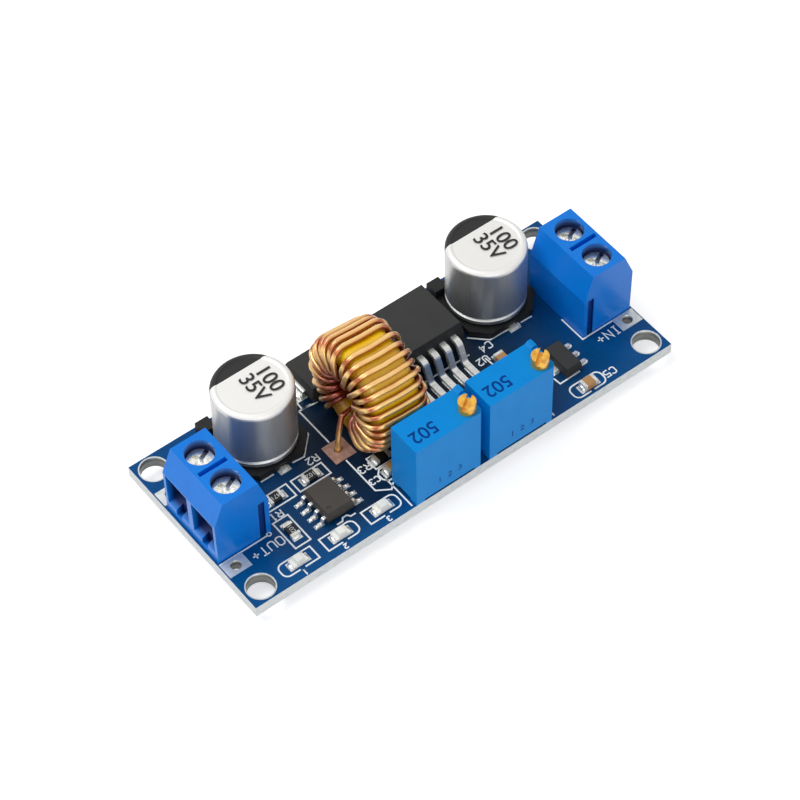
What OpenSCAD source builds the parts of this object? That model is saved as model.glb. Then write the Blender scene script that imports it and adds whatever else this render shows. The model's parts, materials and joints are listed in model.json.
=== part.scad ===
// Adjustable step-down converter module: a long circuit board with a screw terminal
// at each end, two can capacitors, a toroidal inductor standing on edge, the switching
// chip, its diode and two multi-turn trimmers.
// The frame's origin is the centre of the four mounting holes on the board's underside.
// +X runs from the output terminal to the input terminal, +Z up from the board.

/* [Board] */
// Length of the board along X
board_l = 62; // [60:0.5:70]
// Width of the board along Y
board_w = 25.4; // [25:0.1:30]
// Thickness of the board
board_t = 1.6; // [1:0.2:2.4]
// Diameter of the mounting holes
mount_d = 3.5; // [2.5:0.1:3.8]
// Distance from a board end to the mounting holes' centres
mount_inset_x = 2.2; // [2.2:0.1:3]
// Distance from a long edge to the mounting holes' centres
mount_inset_y = 2.1; // [2.1:0.1:2.6]
// Thickness of the tinned copper on the board
pad_t = 0.05; // [0.04:0.01:0.1]
// Width of the tinned ring around a mounting hole
ring_w = 0.12; // [0.1:0.01:0.14]
// How far the soldered pins stand out below the board
pin_proud = 1.4; // [1.1:0.1:2]

/* [Wire pads] */
// Length of a wire pad along X
wire_pad_l = 3.1; // [2.4:0.1:3.3]
// Width of a wire pad along Y
wire_pad_w = 2.2; // [1.8:0.1:2.3]
// Diameter of the hole in a wire pad
wire_hole_d = 1.4; // [0.8:0.1:1.5]
// Distance from the board's middle line to the wire pads' centres
wire_pad_y = 6.5; // [6.5:0.1:6.7]

/* [Screw terminals] */
// Distance between the two poles of a terminal
pole_pitch = 5.08; // [5:0.04:5.2]
// Depth of a terminal at its foot
terminal_d = 7.5; // [7.2:0.1:8]
// Height of a terminal
terminal_h = 10.2; // [10:0.1:11]
// Gap between a terminal and the board's end
terminal_end_gap = 0.2; // [0.1:0.1:0.6]
// Offset of the input terminal along Y
in_terminal_y = -0.2; // [-0.3:0.1:0.3]
// How far the top face is set back from the inner and outer faces
terminal_slope = 1.25; // [0.8:0.05:1.4]
// Height at which the inner face starts to lean back
inner_crease_h = 6.3; // [5:0.1:8]
// Height at which the outer face starts to lean back
outer_crease_h = 6.9; // [6.8:0.1:7.6]
// Width of a wire entry
entry_w = 4.2; // [3.8:0.1:4.4]
// Height of the sill under a wire entry
entry_sill_h = 1.5; // [1.2:0.1:1.6]
// Width of the notch in the sill
sill_notch_w = 1.1; // [0.8:0.1:1.6]
// Depth of the notch in the sill
sill_notch_d = 0.7; // [0.4:0.1:0.9]
// Diameter of the screw wells in the top face
well_d = 3.6; // [3.5:0.05:3.8]
// Distance from a terminal's inner face to the screws' axes
screw_set = 3.85; // [3.6:0.05:4]
// Width of the slot between the poles in the top face
top_slot_w = 0.6; // [0.4:0.1:0.8]
// Depth of the slot between the poles
top_slot_d = 1.2; // [0.6:0.1:1.8]
// Width of the upright groove in a terminal's end faces
end_groove_w = 0.9; // [0.5:0.1:1]
// Depth of the upright groove in a terminal's end faces
end_groove_d = 0.35; // [0.2:0.05:0.4]

/* [Terminal screws and clamps] */
// Outer diameter of the terminal screws' thread
screw_d = 2.5; // [2.2:0.1:2.6]
// Thread pitch of the terminal screws
screw_pitch = 0.45; // [0.4:0.05:0.5]
// Diameter of a terminal screw's head
screw_head_d = 3.3; // [3:0.05:3.4]
// Height of a terminal screw's head
screw_head_h = 1.2; // [1:0.1:1.3]
// Width of the slots in a terminal screw's head
screw_slot_w = 0.55; // [0.4:0.05:0.7]
// Depth of the slots in a terminal screw's head
screw_slot_d = 0.7; // [0.4:0.1:0.8]
// Turns left before a terminal screw is tight
turns_to_tight = 2; // [1:1:2]
// Width of the bent contact strip
contact_w = 3.6; // [3.2:0.1:3.7]
// Thickness of the contact strip at its floor and back
contact_t = 0.6; // [0.4:0.1:0.7]
// Thickness of the tapped bar at the contact's top
tapped_t = 1; // [0.8:0.1:1.2]
// Thickness of the sprung guard between screw and wire
guard_t = 0.4; // [0.3:0.05:0.5]
// Width of the sprung guard
guard_w = 3.2; // [2.8:0.1:3.2]
// Diameter of a terminal pin
terminal_pin_d = 1; // [0.8:0.1:1.2]

/* [Trimmers] */
// Length of a trimmer along X
trimmer_l = 9.8; // [9.4:0.01:9.9]
// Depth of a trimmer along Y
trimmer_d = 4.7; // [4.6:0.01:4.9]
// Height of a trimmer
trimmer_h = 10.1; // [9.8:0.1:10.6]
// Distance between the two trimmers, centre to centre
trimmer_pitch = 10.79; // [10.6:0.01:11]
// Place of the gap between the trimmers along X
trimmer_mid_x = 2.37; // [2:0.01:2.5]
// Diameter of a trimmer's adjusting screw
adjuster_d = 2.19; // [2:0.01:2.3]
// How far the adjusting screw stands out of the trimmer
adjuster_proud = 1.5; // [1:0.1:1.8]
// Distance from the trimmer's corner faces to the screw's axis
adjuster_inset = 1.35; // [1.27:0.01:1.4]
// Width of the adjusting screw's slot
adjuster_slot_w = 0.56; // [0.4:0.01:0.7]
// Depth of the adjusting screw's slot
adjuster_slot_d = 0.76; // [0.5:0.01:0.9]
// Diameter of the lead screw inside the trimmer
lead_screw_d = 1.4; // [1.2:0.1:1.4]
// Travel of the wiper carriage each way from its middle
carriage_travel = 2.5; // [2:0.1:2.5]
// Height of the wiper carriage
carriage_h = 1.6; // [1.2:0.1:1.6]
// Thickness of the ceramic element
element_t = 0.5; // [0.4:0.05:0.6]
// Diameter of a trimmer's pins
trimmer_pin_d = 0.5; // [0.4:0.05:0.6]
// Distance between a trimmer's pins
trimmer_pin_pitch = 2.54; // [2.5:0.01:2.6]

/* [Capacitors] */
// Diameter of the capacitors' cans
can_d = 10; // [9.4:0.1:10.2]
// Height of the capacitors above the board
can_h = 10.5; // [9:0.1:12]
// Radius of the rolled edge at a can's top
can_edge_r = 0.7; // [0.4:0.1:1.2]
// Side of the square base under a can
can_base = 10.3; // [10.3:0.1:10.6]
// Thickness of the base plate
can_base_t = 0.9; // [0.7:0.1:1.2]
// Height of the base's two corner posts
can_post_h = 2.2; // [1.6:0.1:2.6]
// Length of the cut on the base's two front corners
can_base_cut = 2; // [1.4:0.1:2.4]
// Gap between the left capacitor's base and the output terminal
left_can_gap = 1.3; // [1:0.1:1.6]
// Gap between the right capacitor's base and the input terminal
right_can_gap = 0.4; // [0.3:0.1:0.8]
// Gap between the capacitors' bases and the board's back edge
can_back_gap = 1; // [0.6:0.1:1.2]

/* [Inductor] */
// Outer diameter of the ring core
core_od = 13.8; // [13:0.1:14]
// Inner diameter of the ring core
core_id = 7.4; // [7.3:0.1:7.8]
// Height of the ring core along its axis
core_h = 6.6; // [5:0.1:6.8]
// Radius of the core's edges
core_edge_r = 1.2; // [0.9:0.1:1.5]
// Diameter of the enamelled wire
wire_d = 0.72; // [0.64:0.01:0.88]
// How far the turns bow out from the core's flat faces at their outer corners
face_bow = 0.4; // [0.2:0.05:0.5]
// Number of full turns
turns = 27; // [18:1:28]
// Angle from one turn to the next
turn_step = 10.5; // [10.3:0.1:11]
// Angle from the top to the first turn, at the lower front
first_turn = 141; // [130:1:150]
// Extra angle in the wide gap between two turns near the top
wide_gap = 5; // [0:0.5:8]
// Place of the inductor along X
inductor_x = -4.55; // [-4.8:0.05:-4.4]
// Place of the inductor along Y
inductor_y = 0.6; // [0.3:0.05:0.8]
// Angle of the inductor's axis to X
inductor_yaw = -4.5; // [-7:0.5:0]
// Distance from the inductor's middle to its soldered wire ends along X
wire_end_reach = 5.6; // [5.5:0.05:5.8]

/* [Chips and small parts] */
// Width of the switching chip's body along X
chip_w = 10.2; // [9.8:0.1:10.4]
// Depth of the switching chip's body along Y
chip_d = 8.2; // [7.8:0.1:8.8]
// Height of the switching chip's body
chip_h = 4.4; // [4:0.1:4.6]
// Place of the switching chip's left side along X
chip_x = 1.05; // [1.05:0.05:1.3]
// Place of the switching chip's front face along Y
chip_y = 2.6; // [2.4:0.1:2.8]
// Distance between the switching chip's leads
chip_lead_pitch = 1.7; // [1.6:0.01:1.75]
// Width of the switching chip's leads
chip_lead_w = 0.8; // [0.6:0.05:0.9]
// Thickness of the metal tab
chip_tab_t = 1.27; // [1:0.01:1.4]
// Length of the diode's body
diode_l = 7; // [6.6:0.1:7.2]
// Width of the diode's body
diode_w = 5.9; // [5.4:0.1:5.9]
// Height of the diode
diode_h = 2.4; // [2:0.1:2.6]
// Length of the amplifier chip's body along Y
amp_l = 4.9; // [4.8:0.1:5]
// Width of the amplifier chip's body along X
amp_w = 3.9; // [3.6:0.1:4]
// Height of the amplifier chip
amp_h = 1.65; // [1.4:0.05:1.75]
// Width of the regulator's body along Y
reg_w = 4.5; // [4.4:0.1:4.6]
// Depth of the regulator's body along X
reg_d = 2.5; // [2.3:0.1:2.6]
// Height of the regulator
reg_h = 1.5; // [1.3:0.05:1.6]
// Length of the small resistors and ceramic capacitors
small_l = 2; // [1.8:0.05:2.2]
// Width of the small resistors and ceramic capacitors
small_w = 1.25; // [1.1:0.05:1.4]
// Height of the small resistors
resistor_h = 0.5; // [0.4:0.05:0.7]
// Height of the ceramic capacitors
ceramic_h = 0.9; // [0.6:0.05:1]
// Length of a metal end cap on a small part
end_cap_l = 0.4; // [0.3:0.05:0.5]
// Height of a lamp's carrier
lamp_base_h = 0.4; // [0.3:0.05:0.5]
// Height of a lamp's lens
lamp_lens_h = 0.55; // [0.4:0.05:0.7]

/* [Hidden] */
$fn = 48;

// Named clearances
fit_gap = 0.05;
running_gap = 0.05;
hole_gap = 0.15;
// How far a cutting solid runs past the face that it opens
cut_past = 1;

// Board
top_z = board_t;
pad_z = top_z + pad_t;
mount_x = board_l / 2 - mount_inset_x;
mount_y = board_w / 2 - mount_inset_y;
wire_pad_edge_gap = 0.15;
wire_pad_x = board_l / 2 - wire_pad_edge_gap - wire_pad_l / 2;

// Terminals: "out" of a terminal is the distance outwards from its inner face
terminal_l = 2 * pole_pitch;
terminal_face_x = board_l / 2 - terminal_end_gap - terminal_d;
terminal_top_out = terminal_d - 0.1 - terminal_slope;
entry_top_h = outer_crease_h - 0.15;
chamber_out = 1.55;
contact_out = chamber_out + fit_gap;
contact_end = screw_set + 2.05;
contact_floor_h = entry_sill_h + 0.25;
clamp_low_h = contact_floor_h + contact_t + fit_gap;
clamp_drop = turns_to_tight * screw_pitch;
guard_h = clamp_low_h + clamp_drop;
screw_tip_h = guard_h + guard_t + fit_gap;
tapped_top_h = entry_top_h - fit_gap;
screw_head_low_h = tapped_top_h + clamp_drop + fit_gap;
screw_top_h = screw_head_low_h + screw_head_h;
guard_lip_h = 0.9;
top_slot_l = 3.9;
end_groove_out = 0.6;

// Trimmers: local frame at the housing's front left foot
trimmer_y = -board_w / 2;
trimmer_wall = 0.4;
trimmer_roof = 1.2;
trimmer_foot_h = 0.35;
trimmer_seal_h = 1.5;
trimmer_ear_l = 0.9;
trimmer_ear_w = 1.1;
trimmer_ear_h = 0.3;
trimmer_ear_flat = 0.5;
trimmer_corner_cut = 0.4;
adjuster_x = trimmer_l - adjuster_inset;
clip_d = lead_screw_d + 0.2;
clip_h = 0.4;
clip_low_h = trimmer_h - trimmer_roof - running_gap - clip_h;
carriage_mid_h = (trimmer_seal_h + clip_low_h) / 2;
carriage_l = 3.2;
element_back = trimmer_d - trimmer_wall - fit_gap;
element_front = element_back - element_t;
element_past = 1;
wiper_t = 0.15;
wiper_reach = 0.45;
carriage_back = element_front - wiper_reach;

// Capacitors
left_can_x = -terminal_face_x + left_can_gap + can_base / 2;
right_can_x = terminal_face_x - right_can_gap - can_base / 2;
can_y = board_w / 2 - can_back_gap - can_base / 2;
can_lead_w = 0.9;
can_lead_t = 0.3;
can_lead_l = 3.2;
can_lead_out = 0.55;
can_neck_h = 0.5;
can_post_w = 1.8;

// Inductor
wire_r = wire_d / 2;
wound_r = core_od / 2 + fit_gap + wire_r;
wound_half = core_h / 2 + fit_gap + wire_r;
bore_r = core_id / 2 - fit_gap - wire_r;
// The least step inwards that lets a turn nest between its two neighbours in the bore
nest_side = bore_r * sin(turn_step);
nest_sag = bore_r * (1 - cos(turn_step));
layer_step = fit_gap + nest_sag + sqrt(max(wire_d * wire_d - nest_side * nest_side, 0));
wire_sides = 8;
bend_steps = 4;
outer_bend_r = 1.8;
inner_bend_r = 1.5;
wide_gap_turn = floor(first_turn / turn_step);
// The core's foot is bare, and the lowest turns beside it reach about as low
last_turn = turn_step * turns + wide_gap - first_turn;
inductor_z = pad_z + fit_gap + max(core_od / 2, wire_r - wound_r * cos(max(first_turn, last_turn)));
wire_end_y = -0.45;
left_wire_end_x = inductor_x - wire_end_reach;
right_wire_end_x = inductor_x + wire_end_reach;
wire_rise = 1.2;
mouth_reach = 0.4;

// Switching chip
chip_lead_t = 0.5;
chip_lead_h = 2.6;
chip_lead_reach = 4.9;
chip_leads = 5;
chip_mid_x = chip_x + chip_w / 2;
// The lead row sits a little left of the body's middle
chip_tab_reach = 1.2;

// Diode, amplifier and regulator
diode_x = -5;
diode_y = board_w / 2 - 0.15 - diode_w / 2;
diode_lead_w = 3;
diode_lead_t = 0.25;
amp_x = -15.7;
amp_y = -6.05;
amp_pitch = 1.27;
amp_span = 6;
amp_lead_w = 0.42;
amp_lead_t = 0.22;
reg_x = 18.85;
reg_y = -6.8;
reg_pitch = 1.5;
reg_lead_t = 0.4;
reg_lead_reach = 1;
reg_tab_w = 1.7;

// Small parts: place and, in degrees, the turn of each about Z
resistors = [[-15.1, -1.75, 0], [-20.2, -1.75, 0], [-21.5, -6.6, 90], [-6.9, -4.55, 0]];
ceramics = [[19.1, -11.35, 0], [13.3, -2.2, 90], [-6.9, -6.75, 0]];
lamps = [[-23.45, -10.55], [-17.35, -10.5], [-11.3, -10.45]];
small_pad_l = 0.9;

// ---------------------------------------------------------------- helpers

function unit(v) = v / norm(v);

// Points of the arc of radius r that rounds the corner c between p and n
function corner_arc(p, c, n, r, steps) =
    let (
        a = unit(p - c),
        b = unit(n - c),
        half = acos(a * b) / 2,
        centre = c + unit(a + b) * r / sin(half),
        from = c + a * r / tan(half) - centre,
        to = c + b * r / tan(half) - centre,
        sweep = 180 - 2 * half
    )
    [for (i = [0 : steps])
        centre + (sin((1 - i / steps) * sweep) * from + sin(i / steps * sweep) * to) / sin(sweep)];

// An open path with its inner corners rounded
function rounded_path(points, r, steps = 5) = concat(
    [points[0]],
    [for (i = [1 : len(points) - 2])
        each corner_arc(points[i - 1], points[i], points[i + 1], r, steps)],
    [points[len(points) - 1]]);

// Sideways offset at point i of a path, half a strip's thickness to its left
function strip_offset(path, i, t) =
    let (
        before = unit(path[i] - path[max(i - 1, 0)] + (i == 0 ? path[1] - path[0] : [0, 0])),
        after = i == len(path) - 1 ? before : unit(path[i + 1] - path[i]),
        way = unit(before + after)
    )
    [-way[1], way[0]] * t / 2 / (before * way);

// Outline of a strip of thickness t bent along a path
function strip_outline(path, t) = concat(
    [for (i = [0 : len(path) - 1]) path[i] + strip_offset(path, i, t)],
    [for (i = [len(path) - 1 : -1 : 0]) path[i] - strip_offset(path, i, t)]);

// A strip of width w bent in the plane of X (outwards) and Z, centred on Y
module bent_strip(points, t, w, r) {
    rotate([90, 0, 0])
        translate([0, 0, -w / 2])
            linear_extrude(w)
                polygon(strip_outline(rounded_path(points, r), t));
}

// A box centred on X and Y that stands on Z = 0
module block(size) {
    translate([-size[0] / 2, -size[1] / 2, 0]) cube(size);
}

// Side view of a moulded body: widest at the parting line, leaning in above and below
function moulded_outline(w, h, part_h, lean) = [
    [-w / 2 + lean / 2, 0], [w / 2 - lean / 2, 0], [w / 2, part_h],
    [w / 2 - lean, h], [-w / 2 + lean, h], [-w / 2, part_h]];

// A moulded body centred on X and Y that stands on Z = 0
module moulded(size, part_h, lean) {
    intersection() {
        rotate([90, 0, 0])
            translate([0, 0, -size[1]])
                linear_extrude(2 * size[1])
                    polygon(moulded_outline(size[0], size[2], part_h, lean));
        rotate([90, 0, 90])
            translate([0, 0, -size[0]])
                linear_extrude(2 * size[0])
                    polygon(moulded_outline(size[1], size[2], part_h, lean));
    }
}

// ---------------------------------------------------------------- board

function mount_places() = [for (x = [-mount_x, mount_x]) for (y = [-mount_y, mount_y]) [x, y]];

function wire_pad_places() =
    [for (x = [-wire_pad_x, wire_pad_x]) for (y = [-wire_pad_y, wire_pad_y]) [x, y]];

// Screw axes of the two poles of a terminal; side is -1 for output and 1 for input
function terminal_y(side) = side > 0 ? in_terminal_y : 0;
function pole_x(side) = side * (terminal_face_x + screw_set);
function pole_y(side, pole) = terminal_y(side) + pole * pole_pitch / 2;
function pole_places() =
    [for (side = [-1, 1]) for (pole = [-1, 1]) [pole_x(side), pole_y(side, pole)]];

function trimmer_x(side) = trimmer_mid_x + side * trimmer_pitch / 2 - trimmer_l / 2;
function trimmer_pin_places() = [
    for (side = [-1, 1]) for (i = [-1 : 1])
        [trimmer_x(side) + trimmer_l / 2 + i * trimmer_pin_pitch, trimmer_y + trimmer_d / 2]];

function wire_end_places() = [[left_wire_end_x, wire_end_y], [right_wire_end_x, wire_end_y]];

module round_holes(places, d) {
    for (p = places)
        translate([p[0], p[1], -cut_past]) cylinder(h = board_t + 2 * cut_past, d = d);
}

module circuit_board() {
    color("navy")
        difference() {
            block([board_l, board_w, board_t]);
            round_holes(mount_places(), mount_d);
            round_holes(wire_pad_places(), wire_hole_d);
            round_holes(pole_places(), terminal_pin_d + 2 * hole_gap);
            round_holes(trimmer_pin_places(), trimmer_pin_d + 2 * hole_gap);
            round_holes(wire_end_places(), wire_d + 2 * hole_gap);
        }
}

// A tinned pad on the board's top
module pad(x, y, l, w) {
    translate([x, y, top_z]) block([l, w, pad_t]);
}

module ring_pad(place, hole_d, width) {
    translate([place[0], place[1], 0])
        difference() {
            cylinder(h = pad_t, d = hole_d + 2 * width);
            translate([0, 0, -cut_past]) cylinder(h = pad_t + 2 * cut_past, d = hole_d);
        }
}

// Copper shows around the small parts' ends, so each pad is longer than what it carries
module small_pads(place, turn) {
    translate([place[0], place[1], top_z])
        rotate([0, 0, turn])
            for (side = [-1, 1])
                translate([side * (small_l / 2), 0, 0])
                    block([small_pad_l, small_w, pad_t]);
}

module tinned_pads() {
    color("silver") {
        for (p = mount_places())
            translate([0, 0, top_z]) ring_pad(p, mount_d, ring_w);
        for (p = wire_pad_places())
            difference() {
                pad(p[0], p[1], wire_pad_l, wire_pad_w);
                round_holes([p], wire_hole_d);
            }
        for (p = resistors) small_pads(p, p[2]);
        for (p = ceramics) small_pads(p, p[2]);
        for (p = lamps) small_pads(p, 0);
        for (x = [left_can_x, right_can_x])
            for (side = [-1, 1])
                pad(x, can_y + side * (can_base / 2 - 1), 1.6, 3.6);
        for (i = [0 : chip_leads - 1])
            pad(chip_lead_x(i), chip_y - chip_lead_reach + 0.9, chip_lead_w + 0.2, 2.6);
        pad(chip_mid_x, chip_y + (chip_d + chip_tab_reach + 1.4) / 2, chip_w, chip_d + chip_tab_reach - 1.4);
        for (side = [-1, 1])
            pad(diode_x + side * diode_l / 2, diode_y, 2.4, diode_lead_w + 0.2);
        for (side = [-1, 1]) for (i = [0 : 3])
            pad(amp_x + side * (amp_span / 2 - 0.2), amp_lead_y(i), 1.3, amp_lead_w + 0.15);
        for (i = [-1 : 1])
            pad(reg_x + reg_d / 2 + reg_lead_reach / 2, reg_y + i * reg_pitch, reg_lead_reach + 0.4, 0.7);
        pad(reg_x - reg_d / 2 - 0.1, reg_y, 1.6, reg_tab_w + 0.2);
    }
}

module inductor_pads() {
    color("sienna")
        for (p = wire_end_places())
            difference() {
                pad(p[0], p[1] - 0.2, p[0] < 0 ? 3 : 2.2, 3);
                round_holes([p], wire_d + 2 * hole_gap);
            }
}

// A fillet of solder around a pin on the board's underside
module solder_joint(place, pin_d, foot_r, h) {
    steps = 6;
    translate([place[0], place[1], 0])
        rotate_extrude()
            polygon(concat(
                [[pin_d / 2, 0]],
                [[pin_d / 2, -h]],
                [for (i = [1 : steps])
                    [foot_r - (foot_r - pin_d / 2 - 0.1) * cos(90 * i / steps),
                     -h + h * sin(90 * i / steps)]]));
}

module solder_joints() {
    color("lightgray") {
        for (p = pole_places()) solder_joint(p, terminal_pin_d, 1.2, 0.9);
        for (p = trimmer_pin_places()) solder_joint(p, trimmer_pin_d, 0.8, 0.7);
        for (p = wire_end_places()) solder_joint(p, wire_d, 1.1, 0.9);
    }
}

// ---------------------------------------------------------------- screw terminals

// Turns a terminal piece drawn with "out" along +X into its place on the board
module at_terminal(side) {
    translate([side * terminal_face_x, terminal_y(side), top_z])
        rotate([0, 0, side > 0 ? 0 : 180])
            children();
}

module terminal_shape() {
    rotate([90, 0, 0])
        translate([0, 0, -terminal_l / 2])
            linear_extrude(terminal_l)
                polygon([
                    [0, 0], [terminal_d - 0.1, 0], [terminal_d, outer_crease_h],
                    [terminal_top_out, terminal_h], [terminal_slope, terminal_h],
                    [0, inner_crease_h]]);
}

// The space of one pole: a chamber open outwards, with a floor that falls to the sill
module pole_chamber() {
    rotate([90, 0, 0])
        translate([0, 0, -entry_w / 2])
            linear_extrude(entry_w)
                polygon([
                    [chamber_out, contact_floor_h], [contact_end + fit_gap, contact_floor_h],
                    [contact_end + fit_gap, contact_floor_h + contact_t],
                    [terminal_d, entry_sill_h], [terminal_d + cut_past, entry_sill_h],
                    [terminal_d + cut_past, entry_top_h], [chamber_out, entry_top_h]]);
}

module terminal_housing(side) {
    color("royalblue")
        at_terminal(side)
            difference() {
                terminal_shape();
                for (pole = [-1, 1])
                    translate([0, pole * pole_pitch / 2, 0]) {
                        pole_chamber();
                        translate([screw_set, 0, contact_floor_h + cut_past])
                            cylinder(h = terminal_h, d = well_d);
                        translate([screw_set, 0, -cut_past])
                            cylinder(h = terminal_h / 2, d = terminal_pin_d + 2 * fit_gap);
                        translate([terminal_d, 0, entry_sill_h - sill_notch_d])
                            block([2 * (terminal_d - contact_end) - 1, sill_notch_w, entry_sill_h]);
                    }
                translate([screw_set, 0, terminal_h - top_slot_d])
                    block([top_slot_l, top_slot_w, terminal_h]);
                for (end = [-1, 1])
                    translate([end_groove_out, end * terminal_l / 2 - end_groove_d, -cut_past])
                        cube([end_groove_w, 2 * end_groove_d, inner_crease_h + cut_past]);
            }
}

// One bent strip a pole: floor, back and tapped bar, with a pin under the floor
module terminal_contact() {
    floor_h = contact_floor_h;
    difference() {
        union() {
            translate([contact_out, -contact_w / 2, floor_h])
                cube([contact_end - contact_out, contact_w, contact_t]);
            translate([contact_out, -contact_w / 2, floor_h])
                cube([contact_t, contact_w, tapped_top_h - floor_h]);
            translate([contact_out, -contact_w / 2, tapped_top_h - tapped_t])
                cube([contact_end - contact_out, contact_w, tapped_t]);
        }
        translate([screw_set, 0, floor_h + contact_t])
            cylinder(h = terminal_h, d = screw_d + 2 * running_gap);
    }
    translate([screw_set, 0, -board_t - pin_proud])
        cylinder(h = board_t + pin_proud + floor_h, d = terminal_pin_d);
}

module terminal_contacts(side) {
    color("silver")
        at_terminal(side)
            for (pole = [-1, 1])
                translate([0, pole * pole_pitch / 2, 0]) terminal_contact();
}

// A pole piece drawn on the screw's axis, with "out" along +X
module at_pole(side, pole) {
    at_terminal(side)
        translate([screw_set, side * pole * pole_pitch / 2, 0])
            children();
}

module terminal_screw(side, pole) {
    color("gainsboro")
        at_pole(side, pole)
            difference() {
                union() {
                    translate([0, 0, screw_tip_h])
                        cylinder(h = screw_head_low_h - screw_tip_h, d = screw_d);
                    translate([0, 0, screw_head_low_h])
                        cylinder(h = screw_head_h, d = screw_head_d);
                }
                for (turn = [0, 90])
                    rotate([0, 0, turn + 25])
                        translate([0, 0, screw_top_h - screw_slot_d])
                            block([turn == 0 ? 2 * screw_head_d : 0.65 * screw_head_d,
                                   screw_slot_w, screw_head_h]);
            }
}

// The sprung guard that the screw presses on the wire, with a lip turned up at its mouth
module wire_guard(side, pole) {
    color("lightsteelblue")
        at_pole(side, pole)
            bent_strip([
                [contact_out + contact_t + fit_gap - screw_set, guard_h + guard_t / 2],
                [contact_end - screw_set, guard_h + guard_t / 2],
                [contact_end - screw_set + 0.35, guard_h + guard_lip_h]],
                guard_t, guard_w, 0.3);
}

// ---------------------------------------------------------------- trimmers

module at_trimmer(side) {
    translate([trimmer_x(side), trimmer_y, top_z]) children();
}

module trimmer_outline() {
    polygon([
        [0, 0], [trimmer_l - trimmer_corner_cut, 0], [trimmer_l, trimmer_corner_cut],
        [trimmer_l, trimmer_d], [0, trimmer_d]]);
}

module trimmer_cavity_outline() {
    translate([trimmer_wall, trimmer_wall])
        square([trimmer_l - 2 * trimmer_wall, trimmer_d - 2 * trimmer_wall]);
}

// The raised ear at the back corner beside the adjusting screw
module trimmer_ear() {
    translate([trimmer_l, trimmer_d, trimmer_h])
        rotate([90, 0, 0])
            linear_extrude(trimmer_ear_w)
                polygon([
                    [0, 0], [0, trimmer_ear_h], [-trimmer_ear_flat, trimmer_ear_h],
                    [-trimmer_ear_l, 0]]);
}

module trimmer_housing(side) {
    color("dodgerblue")
        at_trimmer(side)
            difference() {
                union() {
                    linear_extrude(trimmer_h) trimmer_outline();
                    trimmer_ear();
                }
                translate([0, 0, -cut_past])
                    linear_extrude(trimmer_h - trimmer_roof + cut_past) trimmer_cavity_outline();
                translate([adjuster_x, adjuster_inset, trimmer_h / 2])
                    cylinder(h = trimmer_h, d = lead_screw_d + 2 * running_gap);
                // Open channels between the four feet
                translate([trimmer_l / 2, trimmer_d / 2, -cut_past]) {
                    block([trimmer_l - 2.4, 2 * trimmer_d, cut_past + trimmer_foot_h]);
                    block([2 * trimmer_l, trimmer_d - 2.4, cut_past + trimmer_foot_h]);
                }
            }
}

// Head, lead screw and the clip that keeps it in
module trimmer_screw(side) {
    color("goldenrod")
        at_trimmer(side)
            translate([adjuster_x, adjuster_inset, 0])
                difference() {
                    union() {
                        translate([0, 0, trimmer_h + running_gap])
                            cylinder(h = adjuster_proud - running_gap, d = adjuster_d);
                        translate([0, 0, trimmer_seal_h + running_gap])
                            cylinder(h = trimmer_h - trimmer_seal_h, d = lead_screw_d);
                        translate([0, 0, clip_low_h]) cylinder(h = clip_h, d = clip_d);
                    }
                    translate([0, 0, trimmer_h + adjuster_proud - adjuster_slot_d])
                        rotate([0, 0, 35])
                            block([2 * adjuster_d, adjuster_slot_w, adjuster_d]);
                }
}

module trimmer_carriage(side) {
    front = trimmer_wall + running_gap;
    color("ivory")
        at_trimmer(side)
            difference() {
                translate([trimmer_l - trimmer_wall - running_gap - carriage_l, front,
                           carriage_mid_h - carriage_h / 2])
                    cube([carriage_l, carriage_back - front, carriage_h]);
                translate([adjuster_x, adjuster_inset, 0])
                    cylinder(h = trimmer_h, d = lead_screw_d + 2 * running_gap);
            }
}

// A spring strip from the carriage's back to the element's face
module trimmer_wiper(side) {
    color("gold")
        at_trimmer(side)
            translate([trimmer_l - trimmer_wall - carriage_l + 0.6, carriage_back, carriage_mid_h])
                rotate([0, 0, 90])
                    bent_strip([
                        [wiper_t / 2, -0.6], [wiper_t / 2, 0.1],
                        [wiper_reach - wiper_t / 2 - running_gap, 0.5],
                        [wiper_reach - wiper_t / 2 - running_gap, 0.75]],
                        wiper_t, 0.8, 0.1);
}

module trimmer_elements() {
    color("white")
        for (side = [-1, 1])
            at_trimmer(side)
                translate([trimmer_wall + fit_gap, element_front, trimmer_seal_h])
                    cube([trimmer_l - 2 * trimmer_wall - 2 * fit_gap, element_t,
                          carriage_mid_h + carriage_travel + element_past - trimmer_seal_h]);
}

module trimmer_seals() {
    color("darkslategray")
        difference() {
            for (side = [-1, 1])
                at_trimmer(side)
                    translate([0, 0, trimmer_foot_h])
                        linear_extrude(trimmer_seal_h - trimmer_foot_h) trimmer_cavity_outline();
            for (p = trimmer_pin_places())
                translate([p[0], p[1], 0]) cylinder(h = top_z + trimmer_h / 2, d = trimmer_pin_d);
        }
}

module trimmer_pins() {
    color("silver")
        for (p = trimmer_pin_places())
            translate([p[0], p[1], -pin_proud])
                cylinder(h = pin_proud + top_z + trimmer_seal_h, d = trimmer_pin_d);
}

// ---------------------------------------------------------------- capacitors

module capacitor_can(x) {
    r = can_d / 2;
    neck_r = r - 0.35;
    low = can_base_t + fit_gap;
    lip = can_post_h - 0.35;
    color("lightgray")
        translate([x, can_y, pad_z])
            rotate_extrude($fn = 96)
                polygon(concat(
                    [[0, low], [r - 0.4, low], [r, low + 0.4], [r, lip], [neck_r, lip + can_neck_h / 2],
                     [r, lip + can_neck_h], [r, can_h - can_edge_r]],
                    [for (a = [15 : 15 : 90])
                        [r - can_edge_r + can_edge_r * cos(a), can_h - can_edge_r + can_edge_r * sin(a)]],
                    [[r - can_edge_r - 0.25, can_h - 0.12], [0, can_h - 0.12]]));
}

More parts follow.
